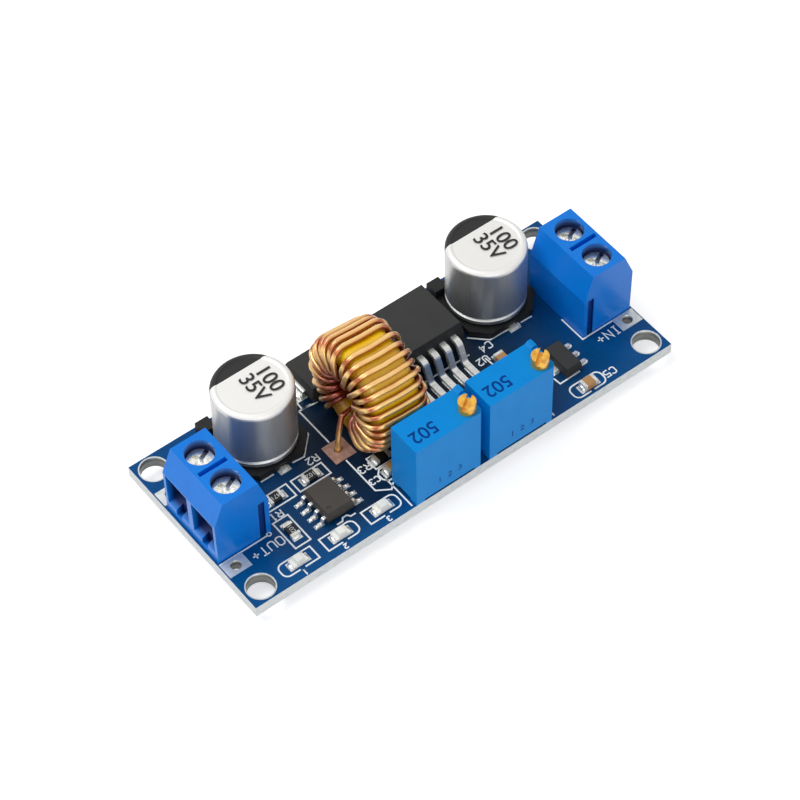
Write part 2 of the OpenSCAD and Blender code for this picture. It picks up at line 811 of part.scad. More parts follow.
// Square base with two cut corners at the front and a post at each of the two others
module capacitor_base(x) {
    s = can_base / 2;
    color("black")
        translate([x, can_y, pad_z])
            difference() {
                linear_extrude(can_post_h)
                    polygon([
                        [-s, s], [-s, -s + can_base_cut], [-s + can_base_cut, -s],
                        [s - can_base_cut, -s], [s, -s + can_base_cut], [s, s]]);
                translate([0, 0, can_base_t]) cylinder(h = can_post_h, d = can_d + 2 * fit_gap, $fn = 96);
                translate([0, 0, can_base_t])
                    block([can_base - 2 * can_post_w, 2 * can_base, can_post_h]);
                translate([-can_base, s - can_post_w - 2 * can_base, can_base_t])
                    cube([2 * can_base, 2 * can_base, can_post_h]);
                for (side = [-1, 1])
                    translate([0, side * (s - can_lead_l / 2), -cut_past])
                        block([can_lead_w + 2 * fit_gap, can_lead_l + 2 * fit_gap, can_lead_t + fit_gap + cut_past]);
            }
}

module capacitor_leads() {
    color("silver")
        for (x = [left_can_x, right_can_x])
            for (side = [-1, 1])
                translate([x, can_y + side * (can_base / 2 - can_lead_l / 2 + can_lead_out), pad_z])
                    block([can_lead_w, can_lead_l, can_lead_t]);
}

// ---------------------------------------------------------------- inductor

module at_inductor() {
    translate([inductor_x, inductor_y, inductor_z]) rotate([0, 0, inductor_yaw]) children();
}

module inductor_core() {
    e = core_edge_r;
    color("gold")
        at_inductor()
            rotate([0, 90, 0])
                rotate_extrude($fn = 72)
                    polygon([for (corner = [
                            [core_od / 2 - e, core_h / 2 - e, 0], [core_id / 2 + e, core_h / 2 - e, 90],
                            [core_id / 2 + e, -core_h / 2 + e, 180], [core_od / 2 - e, -core_h / 2 + e, 270]])
                        for (a = [0 : 22.5 : 90])
                            [corner[0] + e * cos(corner[2] + a), corner[1] + e * sin(corner[2] + a)]]);
}

// Running length along a list of points
function lengths(path) =
    [for (i = 0, s = 0; i < len(path); s = s + (i + 1 < len(path) ? norm(path[i + 1] - path[i]) : 0), i = i + 1) s];

// One turn around the core's section, as [axial place, radius] from the middle of its
// outer run. Every second turn lies over its neighbours in the bore, where there is no
// room for all of them side by side.
function turn_section(k) =
    let (
        over = abs(k % 2) * layer_step,
        a = wound_half + face_bow,
        a_in = wound_half + over,
        r_in = bore_r - over,
        stops = [[0, wound_r], [a, wound_r], [a_in, r_in], [-a_in, r_in], [-a, wound_r], [0, wound_r]]
    )
    concat([stops[0]],
        [for (i = [1 : 4])
            each corner_arc(stops[i - 1], stops[i], stops[i + 1],
                i == 1 || i == 4 ? outer_bend_r : inner_bend_r, bend_steps)]);

// Angle from the top towards the front at a number of turns from the start
function turn_angle(n) =
    first_turn - turn_step * n - wide_gap * min(max(n - wide_gap_turn, 0), 1);

// A point of the winding in the board's frame
function wound_point(axial, r, n) =
    let (
        angle = turn_angle(n),
        y = -r * sin(angle),
        c = cos(inductor_yaw),
        s = sin(inductor_yaw)
    )
    [inductor_x + axial * c - y * s, inductor_y + axial * s + y * c, inductor_z + r * cos(angle)];

// The direction around the ring there, which no stretch of wire runs along
function wound_side(n) =
    let (angle = turn_angle(n), y = -cos(angle))
    [-y * sin(inductor_yaw), y * cos(inductor_yaw), -sin(angle)];

function bezier(a, b, c, d, t) =
    a * pow(1 - t, 3) + 3 * b * pow(1 - t, 2) * t + 3 * c * (1 - t) * pow(t, 2) + d * pow(t, 3);

lead_steps = 8;

// The lowest point of the bore's mouth on one side
function bore_mouth(side) =
    let (axial = side * wound_half)
    [inductor_x + axial * cos(inductor_yaw), inductor_y + axial * sin(inductor_yaw), inductor_z - bore_r];

// From a hole in the board up across the core's face and into the bore's mouth beside it
function wire_lead(place, side) =
    let (
        foot = [place[0], place[1], -pin_proud],
        rise = [place[0], place[1], top_z],
        mouth = bore_mouth(side),
        outwards = side * mouth_reach * [cos(inductor_yaw), sin(inductor_yaw), 0]
    )
    concat([foot],
        [for (i = [0 : lead_steps])
            bezier(rise, rise + [0, 0, wire_rise], mouth + outwards, mouth, i / lead_steps)]);

// Points of turn k from number "from" to number "to" in its section, each with the
// direction around the ring
function turn_points(k, from, to) =
    let (section = turn_section(k), s = lengths(section), whole = s[len(s) - 1])
    [for (i = [from : to])
        let (n = k + s[i] / whole)
        [wound_point(section[i][0], section[i][1], n), wound_side(n)]];

// The wire rises from the hole on the input side and runs through the bore to its first
// turn. After the last turn it runs back through the bore to the hole on the output side.
bend_points = bend_steps + 1;
lead_side = [-sin(inductor_yaw), cos(inductor_yaw), 0];
in_lead = wire_lead(wire_end_places()[1], 1);
out_lead = wire_lead(wire_end_places()[0], -1);
wire_run = concat(
    [for (p = in_lead) [p, lead_side]],
    turn_points(-1, 2 * bend_points + 1, 4 * bend_points),
    [for (k = [0 : turns - 1]) each turn_points(k, 0, 4 * bend_points)],
    turn_points(turns, 0, 2 * bend_points),
    [for (i = [lead_steps + 1 : -1 : 0]) [out_lead[i], lead_side]]);

// The wire's outline around each point of its path
function wire_ring(i) =
    let (
        last = len(wire_run) - 1,
        way = unit(
            (i < last ? unit(wire_run[i + 1][0] - wire_run[i][0]) : [0, 0, 0])
            + (i > 0 ? unit(wire_run[i][0] - wire_run[i - 1][0]) : [0, 0, 0])),
        u = unit(cross(wire_run[i][1], way)),
        v = cross(way, u)
    )
    [for (j = [0 : wire_sides - 1])
        wire_run[i][0] + wire_r * (u * cos(360 * j / wire_sides) + v * sin(360 * j / wire_sides))];

module inductor_winding() {
    rings = len(wire_run);
    n = wire_sides;
    color("peru")
        polyhedron(
            points = [for (i = [0 : rings - 1]) each wire_ring(i)],
            faces = concat(
                [[for (j = [0 : n - 1]) j]],
                [for (i = [0 : rings - 2]) for (j = [0 : n - 1])
                    each [
                        [i * n + j, (i + 1) * n + j, (i + 1) * n + (j + 1) % n],
                        [i * n + j, (i + 1) * n + (j + 1) % n, i * n + (j + 1) % n]]],
                [[for (j = [n - 1 : -1 : 0]) (rings - 1) * n + j]]));
}

// ---------------------------------------------------------------- switching chip

chip_first_lead = chip_mid_x - chip_lead_pitch * (chip_leads - 1) / 2;
function chip_lead_x(i) = chip_first_lead + i * chip_lead_pitch;
chip_lead_grip = 0.6;

module chip_lead_shape(i) {
    low = chip_lead_t / 2;
    translate([chip_lead_x(i), chip_y, pad_z])
        rotate([0, 0, -90])
            bent_strip([
                [-chip_lead_grip, chip_lead_h + low], [1.1, chip_lead_h + low],
                [2.2, low], [chip_lead_reach, low]],
                chip_lead_t, chip_lead_w, 0.6);
}

module chip_tab_shape() {
    difference() {
        union() {
            translate([chip_mid_x, chip_y + 1.4, pad_z])
                translate([-chip_w / 2 + 0.9, 0, 0]) cube([chip_w - 1.8, chip_d - 1.4, chip_tab_t]);
            translate([chip_mid_x - chip_w / 2 + 0.1, chip_y + chip_d, pad_z])
                cube([chip_w - 0.2, chip_tab_reach, chip_tab_t]);
        }
    }
}

module switching_chip_body() {
    color("dimgray")
        difference() {
            translate([chip_mid_x, chip_y + chip_d / 2, pad_z])
                moulded([chip_w, chip_d, chip_h], chip_lead_h, 0.35);
            chip_tab_shape();
            for (i = [0 : chip_leads - 1])
                translate([chip_lead_x(i), chip_y, pad_z + chip_lead_h])
                    block([chip_lead_w, 2 * chip_lead_grip, chip_lead_t]);
            // The round mark by the first lead
            translate([chip_x + 1.4, chip_y + 1.6, pad_z + chip_h - 0.15]) cylinder(h = 1, d = 1.1);
        }
}

module switching_chip_tab() {
    color("silver") chip_tab_shape();
}

module switching_chip_leads() {
    color("silver")
        for (i = [0 : chip_leads - 1]) chip_lead_shape(i);
}

// ---------------------------------------------------------------- diode

module diode_body() {
    color("black")
        translate([diode_x, diode_y, pad_z + diode_lead_t])
            difference() {
                moulded([diode_l, diode_w, diode_h - diode_lead_t], 1, 0.35);
                for (side = [-1, 1])
                    translate([side * diode_l / 2, 0, 1 - diode_lead_t / 2])
                        block([1, diode_lead_w, diode_lead_t]);
            }
}

// Strips that leave the body at mid height, run down its ends and fold under it
module diode_leads() {
    end = diode_l / 2;
    mid = 1 + diode_lead_t;
    color("silver")
        for (side = [0, 180])
            translate([diode_x, diode_y, pad_z])
                rotate([0, 0, side])
                    bent_strip([
                        [end - 0.5, mid], [end + 0.35, mid],
                        [end + 0.35, diode_lead_t / 2], [end - 1, diode_lead_t / 2]],
                        diode_lead_t, diode_lead_w, 0.2);
}

// ---------------------------------------------------------------- amplifier chip

function amp_lead_y(i) = amp_y + (i - 1.5) * amp_pitch;
amp_lead_h = 0.75;
amp_grip = 0.3;

module amplifier_chip_body() {
    lift = 0.1;
    color("dimgray")
        difference() {
            translate([amp_x, amp_y, pad_z + lift])
                moulded([amp_w, amp_l, amp_h - lift], amp_lead_h, 0.25);
            for (side = [-1, 1]) for (i = [0 : 3])
                translate([amp_x + side * amp_w / 2, amp_lead_y(i), pad_z + amp_lead_h])
                    block([2 * amp_grip, amp_lead_w, amp_lead_t]);
            translate([amp_x - amp_w / 2 + 0.85, amp_y - amp_l / 2 + 0.85, pad_z + amp_h - 0.1])
                cylinder(h = 1, d = 0.6);
        }
}

module amplifier_chip_leads() {
    low = amp_lead_t / 2;
    color("silver")
        for (side = [0, 180]) for (i = [0 : 3])
            translate([amp_x, amp_lead_y(i), pad_z])
                rotate([0, 0, side])
                    bent_strip([
                        [amp_w / 2 - amp_grip, amp_lead_h + low], [amp_w / 2 + 0.35, amp_lead_h + low],
                        [amp_w / 2 + 0.5, low], [amp_span / 2, low]],
                        amp_lead_t, amp_lead_w, 0.15);
}

// ---------------------------------------------------------------- regulator

module regulator_body() {
    color("black")
        difference() {
            translate([reg_x, reg_y, pad_z]) moulded([reg_d, reg_w, reg_h], reg_lead_t, 0.2);
            regulator_metal();
        }
}

module regulator_metal() {
    for (i = [-1 : 1])
        translate([reg_x + reg_d / 2 - 0.4, reg_y + i * reg_pitch - 0.22, pad_z])
            cube([reg_lead_reach + 0.4, 0.44, reg_lead_t]);
    translate([reg_x - reg_d / 2 - 0.6, reg_y - reg_tab_w / 2, pad_z])
        cube([reg_d * 0.6, reg_tab_w, reg_lead_t]);
}

module regulator_leads() {
    color("silver") regulator_metal();
}

// ---------------------------------------------------------------- small parts

module at_place(p) {
    translate([p[0], p[1], pad_z]) rotate([0, 0, len(p) > 2 ? p[2] : 0]) children();
}

module end_caps(h) {
    for (side = [-1, 1])
        translate([side * (small_l - end_cap_l) / 2, 0, 0]) block([end_cap_l, small_w, h]);
}

module resistor_bodies() {
    color("black")
        for (p = resistors)
            at_place(p) block([small_l - 2 * end_cap_l, small_w, resistor_h]);
}

module resistor_ends() {
    color("silver")
        for (p = resistors) at_place(p) end_caps(resistor_h);
}

module ceramic_capacitor_bodies() {
    color("tan")
        for (p = ceramics)
            at_place(p) block([small_l - 2 * end_cap_l, small_w, ceramic_h]);
}

module ceramic_capacitor_ends() {
    color("silver")
        for (p = ceramics) at_place(p) end_caps(ceramic_h);
}

module lamp_carriers() {
    color("white")
        for (p = lamps) at_place(p) block([small_l, small_w, lamp_base_h]);
}

module lamp_lenses() {
    color("cornsilk")
        for (p = lamps)
            at_place(p)
                translate([0, 0, lamp_base_h])
                    moulded([small_l - 2 * end_cap_l, small_w, lamp_lens_h], 0.05, 0.15);
}

// ---------------------------------------------------------------- parts

circuit_board();
tinned_pads();
inductor_pads();
solder_joints();
terminal_housing(-1);  // out_terminal_housing
terminal_housing(1);  // in_terminal_housing
terminal_contacts(-1);  // out_terminal_contacts
terminal_contacts(1);  // in_terminal_contacts
terminal_screw(-1, -1);  // out_plus_screw
terminal_screw(-1, 1);  // out_minus_screw
terminal_screw(1, -1);  // in_plus_screw
terminal_screw(1, 1);  // in_minus_screw
wire_guard(-1, -1);  // out_plus_guard
wire_guard(-1, 1);  // out_minus_guard
wire_guard(1, -1);  // in_plus_guard
wire_guard(1, 1);  // in_minus_guard
trimmer_housing(-1);  // left_trimmer_housing
trimmer_housing(1);  // right_trimmer_housing
trimmer_screw(-1);  // left_trimmer_screw
trimmer_screw(1);  // right_trimmer_screw
trimmer_carriage(-1);  // left_trimmer_carriage
trimmer_carriage(1);  // right_trimmer_carriage
trimmer_wiper(-1);  // left_trimmer_wiper
trimmer_wiper(1);  // right_trimmer_wiper
trimmer_elements();
trimmer_seals();
trimmer_pins();
capacitor_can(left_can_x);  // left_capacitor_can
capacitor_can(right_can_x);  // right_capacitor_can
capacitor_base(left_can_x);  // left_capacitor_base
capacitor_base(right_can_x);  // right_capacitor_base
capacitor_leads();
inductor_core();
inductor_winding();
switching_chip_body();
switching_chip_tab();
switching_chip_leads();
diode_body();
diode_leads();
amplifier_chip_body();
amplifier_chip_leads();
regulator_body();
regulator_leads();
resistor_bodies();
resistor_ends();
ceramic_capacitor_bodies();
ceramic_capacitor_ends();
lamp_carriers();
lamp_lenses();
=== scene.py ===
"""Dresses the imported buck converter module: finishes, winding, print, solder and studio."""
import json
import math

import bmesh
import bpy
from mathutils import Matrix, Vector


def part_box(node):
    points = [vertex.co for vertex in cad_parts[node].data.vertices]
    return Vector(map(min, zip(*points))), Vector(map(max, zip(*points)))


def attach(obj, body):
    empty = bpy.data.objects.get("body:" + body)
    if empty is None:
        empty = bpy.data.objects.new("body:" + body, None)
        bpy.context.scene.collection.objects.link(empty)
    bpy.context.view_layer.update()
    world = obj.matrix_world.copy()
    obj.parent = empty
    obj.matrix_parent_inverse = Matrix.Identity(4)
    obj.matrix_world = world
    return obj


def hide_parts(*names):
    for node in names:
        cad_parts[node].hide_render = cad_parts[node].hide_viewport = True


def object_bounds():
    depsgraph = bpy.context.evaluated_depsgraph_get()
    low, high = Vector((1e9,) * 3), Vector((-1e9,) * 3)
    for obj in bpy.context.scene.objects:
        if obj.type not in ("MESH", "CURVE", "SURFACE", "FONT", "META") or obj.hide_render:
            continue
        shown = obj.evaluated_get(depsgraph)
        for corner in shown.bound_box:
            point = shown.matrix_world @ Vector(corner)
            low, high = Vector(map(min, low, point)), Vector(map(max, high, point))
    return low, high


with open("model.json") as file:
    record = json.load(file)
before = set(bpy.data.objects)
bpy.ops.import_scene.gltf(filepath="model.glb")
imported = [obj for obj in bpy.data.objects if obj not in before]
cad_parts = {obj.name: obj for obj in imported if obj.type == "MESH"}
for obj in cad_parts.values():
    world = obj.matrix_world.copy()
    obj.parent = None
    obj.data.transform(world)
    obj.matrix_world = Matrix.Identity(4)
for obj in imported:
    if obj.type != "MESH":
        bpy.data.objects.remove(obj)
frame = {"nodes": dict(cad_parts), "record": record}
NODES = frame["nodes"]
BODY = "module"
MM = 0.001
cad_box = [list(corner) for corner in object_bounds()]


def box_mm(node):
    """Lowest and highest corner of a CAD node in millimetres."""
    low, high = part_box(node)
    return low / MM, high / MM


def middle_mm(node):
    low, high = box_mm(node)
    return (low + high) / 2


def srgb(red, green, blue):
    """A linear colour with alpha from display values of 0 to 255."""
    def linear(value):
        value /= 255
        return value / 12.92 if value <= 0.04045 else ((value + 0.055) / 1.055) ** 2.4
    return (linear(red), linear(green), linear(blue), 1.0)


# The board's underside is at z = 0, and its top carries everything
BOARD_LOW, BOARD_HIGH = box_mm("circuit_board")
TOP = BOARD_HIGH.z
PAD_TOP = box_mm("tinned_pads")[1].z
MOUNT = frame["record"]["mounts"][0]["dims"]
HOLE_X = MOUNT["spacing_x_mm"] / 2
HOLE_Y = MOUNT["spacing_y_mm"] / 2
HOLE_R = MOUNT["hole_r_mm"]

# ---------------------------------------------------------------- camera and studio

# Angles in degrees, lengths in millimetres
CAMERA_AZIMUTH = -36.72
CAMERA_ELEVATION = 51.80
CAMERA_ROLL = -1.35
CAMERA_DISTANCE = 359.04
CAMERA_TARGET = Vector((0.104, 0.857, TOP))
CAMERA_LENS = 135.77
SENSOR = 36


def make_camera():
    azimuth, elevation, roll = (math.radians(a) for a in (CAMERA_AZIMUTH, CAMERA_ELEVATION, CAMERA_ROLL))
    back = Vector((math.sin(azimuth) * math.cos(elevation),
                   -math.cos(azimuth) * math.cos(elevation), math.sin(elevation)))
    right = Vector((math.cos(azimuth), math.sin(azimuth), 0))
    up = back.cross(right)
    turned_right = right * math.cos(roll) + up * math.sin(roll)
    turned_up = up * math.cos(roll) - right * math.sin(roll)
    data = bpy.data.cameras.new("camera")
    data.lens = CAMERA_LENS
    data.sensor_width = SENSOR
    data.clip_start = 0.01
    data.clip_end = 10
    camera = bpy.data.objects.new("camera", data)
    turn = Matrix((turned_right, turned_up, back)).transposed().to_4x4()
    camera.matrix_world = Matrix.Translation((CAMERA_TARGET + back * CAMERA_DISTANCE) * MM) @ turn
    bpy.context.scene.collection.objects.link(camera)
    bpy.context.scene.camera = camera


def area_light(name, place, size, power):
    data = bpy.data.lights.new(name, "AREA")
    data.size = size
    data.energy = power
    light = bpy.data.objects.new(name, data)
    light.location = place
    light.rotation_euler = (-Vector(place)).to_track_quat("-Z", "Y").to_euler()
    bpy.context.scene.collection.objects.link(light)


def seen_directly(tree):
    """1 for rays from the camera, from a glossy surface or through glass, else 0."""
    path = tree.nodes.new("ShaderNodeLightPath")
    most = path.outputs["Is Camera Ray"]
    for name in ("Is Glossy Ray", "Is Transmission Ray"):
        joined = tree.nodes.new("ShaderNodeMath")
        joined.operation = "MAXIMUM"
        tree.links.new(most, joined.inputs[0])
        tree.links.new(path.outputs[name], joined.inputs[1])
        most = joined.outputs[0]
    return most


WORLD_LIGHT = 0.34
FLOOR_GLOW = 0.6
# Each lamp's place and size in metres and its power in watts
LAMPS = {
    "key": ((-0.16, 0.14, 0.36), 0.24, 0.85),
    "fill": ((-0.10, -0.30, 0.22), 0.25, 0.35),
}
FLOOR_SIZE = 3
# Keeps the floor just clear of the pins' tips
FLOOR_GAP = 0.00002


def make_studio():
    scene = bpy.context.scene
    scene.view_settings.view_transform = "Standard"
    world = bpy.data.worlds.new("studio")
    world.use_nodes = True
    tree = world.node_tree
    strength = tree.nodes.new("ShaderNodeMapRange")
    strength.inputs["To Min"].default_value = WORLD_LIGHT
    tree.links.new(seen_directly(tree), strength.inputs["Value"])
    background = tree.nodes["Background"]
    background.inputs["Color"].default_value = (1, 1, 1, 1)
    tree.links.new(strength.outputs["Result"], background.inputs["Strength"])
    scene.world = world
    for name, (place, size, power) in LAMPS.items():
        area_light(name, place, size, power)
    bpy.ops.mesh.primitive_plane_add(size=FLOOR_SIZE, location=(0, 0, cad_box[0][2] - FLOOR_GAP))
    floor = bpy.context.object
    floor.name = "floor"
    floor.data.materials.append(floor_material())


def floor_material():
    """White paper that keeps the object's shadow and shows white to the camera."""
    mat = bpy.data.materials.new("floor_paper")
    mat.use_nodes = True
    tree = mat.node_tree
    shader = tree.nodes["Principled BSDF"]
    shader.inputs["Base Color"].default_value = (0.8, 0.8, 0.8, 1)
    shader.inputs["Roughness"].default_value = 0.9
    shader.inputs["Specular IOR Level"].default_value = 0.1
    shader.inputs["Emission Color"].default_value = (1, 1, 1, 1)
    glow = tree.nodes.new("ShaderNodeMath")
    glow.operation = "MULTIPLY"
    glow.inputs[1].default_value = FLOOR_GLOW
    tree.links.new(seen_directly(tree), glow.inputs[0])
    tree.links.new(glow.outputs[0], shader.inputs["Emission Strength"])
    return mat


# ---------------------------------------------------------------- materials

class Finish:
    """One node material on a Principled shader, built up from layers in object space."""

    def __init__(self, name, color, roughness, metallic=0.0):
        self.mat = bpy.data.materials.new(name)
        self.mat.use_nodes = True
        self.tree = self.mat.node_tree
        self.shader = self.tree.nodes["Principled BSDF"]
        coords = self.tree.nodes.new("ShaderNodeTexCoord")
        self.place = coords.outputs["Object"]
        self.facing = coords.outputs["Normal"]
        self.color = color
        self.roughness = roughness
        self.shader.inputs["Metallic"].default_value = metallic
        self.normal = None

    def link(self, value, socket):
        if isinstance(value, bpy.types.NodeSocket):
            self.tree.links.new(value, socket)
        else:
            socket.default_value = value

    def math(self, operation, a, b=0.0):
        made = self.tree.nodes.new("ShaderNodeMath")
        made.operation = operation
        self.link(a, made.inputs[0])
        self.link(b, made.inputs[1])
        return made.outputs[0]

    def split(self, vector):
        made = self.tree.nodes.new("ShaderNodeSeparateXYZ")
        self.link(vector, made.inputs[0])
        return made.outputs

    def distance(self, place, axes, middle):
        """Distance from a line along an axis through a place in millimetres."""
        parts = self.split(place)
        squares = []
        for axis in axes:
            off = self.math("SUBTRACT", parts[axis], middle[axis] * MM)
            squares.append(self.math("MULTIPLY", off, off))
        return self.math("SQRT", self.math("ADD", *squares))

    def stretched(self, scales):
        """Object coordinates with each axis scaled."""
        made = self.tree.nodes.new("ShaderNodeMapping")
        self.link(self.place, made.inputs["Vector"])
        made.inputs["Scale"].default_value = scales
        return made.outputs[0]

    def noise(self, size_mm, detail=3.0, scales=None):
        """Noise from 0 to 1 whose patches are about size_mm across."""
        made = self.tree.nodes.new("ShaderNodeTexNoise")
        self.link(self.stretched(scales) if scales else self.place, made.inputs["Vector"])
        made.inputs["Scale"].default_value = 1 / (size_mm * MM)
        made.inputs["Detail"].default_value = detail
        return made.outputs["Fac"]

    def ramp(self, value, low, high):
        """0 below low, 1 above high."""
        made = self.tree.nodes.new("ShaderNodeMapRange")
        self.link(value, made.inputs["Value"])
        made.inputs["From Min"].default_value = low
        made.inputs["From Max"].default_value = high
        return made.outputs["Result"]

    def paint(self, mask, color, roughness=None):
        """Covers the masked place with another colour, and roughness if given."""
        made = self.tree.nodes.new("ShaderNodeMix")
        made.data_type = "RGBA"
        self.link(mask, made.inputs[0])
        self.link(self.color, made.inputs[6])
        self.link(color, made.inputs[7])
        self.color = made.outputs[2]
        if roughness is not None:
            self.roughness = self.blended(mask, self.roughness, roughness)
        return self

    def blended(self, mask, a, b):
        made = self.tree.nodes.new("ShaderNodeMix")
        self.link(mask, made.inputs[0])
        self.link(a, made.inputs[2])
        self.link(b, made.inputs[3])
        return made.outputs[0]

    def vary(self, size_mm, color, amount=0.5, roughness=None, scales=None):
        """Cloudy patches of another colour."""
        mask = self.math("MULTIPLY", self.ramp(self.noise(size_mm, scales=scales), 0.35, 0.7), amount)
        return self.paint(mask, color, roughness)

    def bump(self, height, depth_mm):
        made = self.tree.nodes.new("ShaderNodeBump")
        made.inputs["Strength"].default_value = 1
        made.inputs["Distance"].default_value = depth_mm * MM
        self.link(height, made.inputs["Height"])
        if self.normal is not None:
            self.link(self.normal, made.inputs["Normal"])
        self.normal = made.outputs[0]
        return self

    def grain(self, size_mm, depth_mm, detail=4.0, scales=None):
        return self.bump(self.noise(size_mm, detail, scales), depth_mm)

    def set(self, **sockets):
        for name, value in sockets.items():
            self.shader.inputs[name.replace("_", " ")].default_value = value
        return self

    def done(self):
        self.link(self.color, self.shader.inputs["Base Color"])
        self.link(self.roughness, self.shader.inputs["Roughness"])
        if self.normal is not None:
            self.link(self.normal, self.shader.inputs["Normal"])
        return self.mat


def solder_mask():
    """Deep blue glossy mask in cloudy tones, with painted shade darkening its middle among the parts, and
    bare fibreglass at the cut edges.
    """
    finish = Finish("solder_mask", srgb(0, 84, 146), 0.3)
    finish.vary(9, srgb(0, 68, 122), 0.5)
    finish.vary(0.5, srgb(0, 58, 108), 0.25)
    place = finish.split(finish.place)
    far_x = finish.math("ABSOLUTE", place[0])
    far_y = finish.math("ABSOLUTE", place[1])
    # Painted shade: a broad darkening towards the middle of the board, among the parts
    crowded_shade = finish.math("MULTIPLY", finish.ramp(far_x, 26 * MM, 13 * MM),
                          finish.ramp(far_y, 12.5 * MM, 9 * MM))
    finish.paint(finish.math("MULTIPLY", crowded_shade, 0.85), srgb(6, 27, 46))
    # More painted shade, near black, under and between the chips at the very middle
    middle = finish.math("MULTIPLY", finish.ramp(far_x, 14 * MM, 8 * MM), finish.ramp(far_y, 8 * MM, 4 * MM))
    finish.paint(finish.math("MULTIPLY", middle, 0.6), srgb(16, 24, 30))
    facing = finish.split(finish.facing)
    edge = finish.math("LESS_THAN", finish.math("ABSOLUTE", facing[2]), 0.5)
    finish.paint(edge, srgb(250, 252, 252), 0.7)
    fibres = finish.noise(0.12, 5, (0.15, 0.15, 1))
    worn = finish.math("MULTIPLY", finish.ramp(fibres, 0.45, 0.8), edge)
    finish.paint(worn, srgb(196, 208, 212), 0.8)
    finish.grain(1.2, 0.012)
    finish.grain(0.15, 0.004)
    return finish.set(Specular_IOR_Level=0.15).done()


# Below 1, as a thin tarnish keeps a real metal's colour where it mirrors dark things
METAL = 0.65


def metal(name, color, roughness, dull, size_mm=0.6, depth_mm=0.02, amount=0.5, scales=None):
    finish = Finish(name, color, roughness, METAL)
    finish.vary(size_mm, dull, amount, min(1, roughness + 0.15), scales)
    finish.grain(size_mm / 2, depth_mm, scales=scales)
    return finish.done()


def plastic(name, color, shade, roughness, grain_mm=0.12, depth_mm=0.006, amount=0.35, shine=0.3):
    finish = Finish(name, color, roughness).set(Specular_IOR_Level=shine)
    finish.vary(2.5, shade, amount)
    finish.grain(grain_mm, depth_mm)
    finish.grain(grain_mm * 12, depth_mm * 1.5)
    return finish


# Reach of the shade in a terminal's screw wells and wire entries from the pole's axis
WELL_REACH = 2.05
ENTRY_REACH = 2.3
# The entries' shade ends at this height over the board, and this far short of the inner face
ENTRY_HIGH = 6.8
CHAMBER_IN = 1.4
# The grooves' shade: how far in it lies, its outer end from the inner face, and its top over the board
GROOVE_IN = 0.1
GROOVE_END = 1.6
GROOVE_HIGH = 6.0


def tinned_copper():
    """Dull tin, with painted shade darkening it down in the plated holes."""
    finish = Finish("tinned_copper", srgb(218, 222, 220), 0.42, METAL)
    finish.vary(0.8, srgb(178, 184, 184), 0.5)
    height = finish.split(finish.place)[2]
    # Painted shade on the barrels inside the plated holes
    barrel_shade = finish.math("MULTIPLY", finish.math("LESS_THAN", height, (TOP - 0.03) * MM),
                         finish.math("GREATER_THAN", height, 0.03 * MM))
    finish.paint(finish.math("MULTIPLY", barrel_shade, 0.8), srgb(96, 98, 92))
    finish.grain(0.4, 0.02)
    return finish.done()


def terminal_plastic():
    """Blue moulded plastic, with painted shade down in the screw wells, the wire entries and the grooves at
    its ends.
    """
    finish = plastic("terminal_plastic", srgb(0, 130, 236), srgb(0, 116, 220), 0.3)
    pole = middle_mm("in_minus_screw")
    pitch = (pole.y - middle_mm("in_plus_screw").y) / 2
    low, high = box_mm("in_terminal_housing")
    place = finish.split(finish.place)
    far_x = finish.math("ABSOLUTE", place[0])
    off_x = finish.math("SUBTRACT", far_x, pole.x * MM)
    inputs = finish.math("GREATER_THAN", place[0], 0.0)
    own_y = finish.math("SUBTRACT", place[1], finish.math("MULTIPLY", inputs, (low.y + high.y) / 2 * MM))
    off_y = finish.math("ABSOLUTE", finish.math("SUBTRACT", finish.math("ABSOLUTE", own_y), pitch * MM))
    away = finish.math("SQRT", finish.math("ADD", finish.math("MULTIPLY", off_x, off_x),
                                           finish.math("MULTIPLY", off_y, off_y)))
    # Painted shade down in the screw wells
    near = finish.math("LESS_THAN", away, WELL_REACH * MM)
    deep = finish.ramp(place[2], (high.z - 0.1) * MM, (high.z - 0.9) * MM)
    finish.paint(finish.math("MULTIPLY", near, deep), srgb(0, 36, 92), 0.55)
    # Painted shade inside the wire entries
    inside = finish.math("MULTIPLY", finish.ramp(far_x, (high.x - 0.1) * MM, (high.x - 0.9) * MM),
                         finish.math("GREATER_THAN", far_x, (low.x + CHAMBER_IN) * MM))
    entry = finish.math("MULTIPLY", finish.math("LESS_THAN", off_y, ENTRY_REACH * MM),
                        finish.math("LESS_THAN", place[2], (TOP + ENTRY_HIGH) * MM))
    finish.paint(finish.math("MULTIPLY", inside, entry), srgb(0, 34, 96), 0.5)
    # Painted shade in the grooves down the ends
    sunk = finish.math("MULTIPLY", finish.math("LESS_THAN", off_y, (pitch - GROOVE_IN) * MM),
                       finish.math("GREATER_THAN", off_y, WELL_REACH * MM))
    groove = finish.math("MULTIPLY", finish.math("LESS_THAN", far_x, (low.x + GROOVE_END) * MM),
                         finish.math("GREATER_THAN", far_x, (low.x + GROOVE_IN) * MM))
    lower = finish.math("LESS_THAN", place[2], (TOP + GROOVE_HIGH) * MM)
    finish.paint(finish.math("MULTIPLY", finish.math("MULTIPLY", sunk, groove), lower), srgb(0, 52, 126), 0.5)
    return finish.done()


def screw_steel():
    """Zinc-plated steel with duller, rougher patches and a fine grain."""
    finish = Finish("screw_steel", srgb(244, 244, 238), 0.18, 1.0)
    finish.vary(0.45, srgb(170, 172, 168), 0.5, 0.35)
    finish.grain(0.3, 0.012)
    return finish.done()


# How far from a can's axis the black segment of its negative side begins
NEGATIVE_SIDE = 2.6


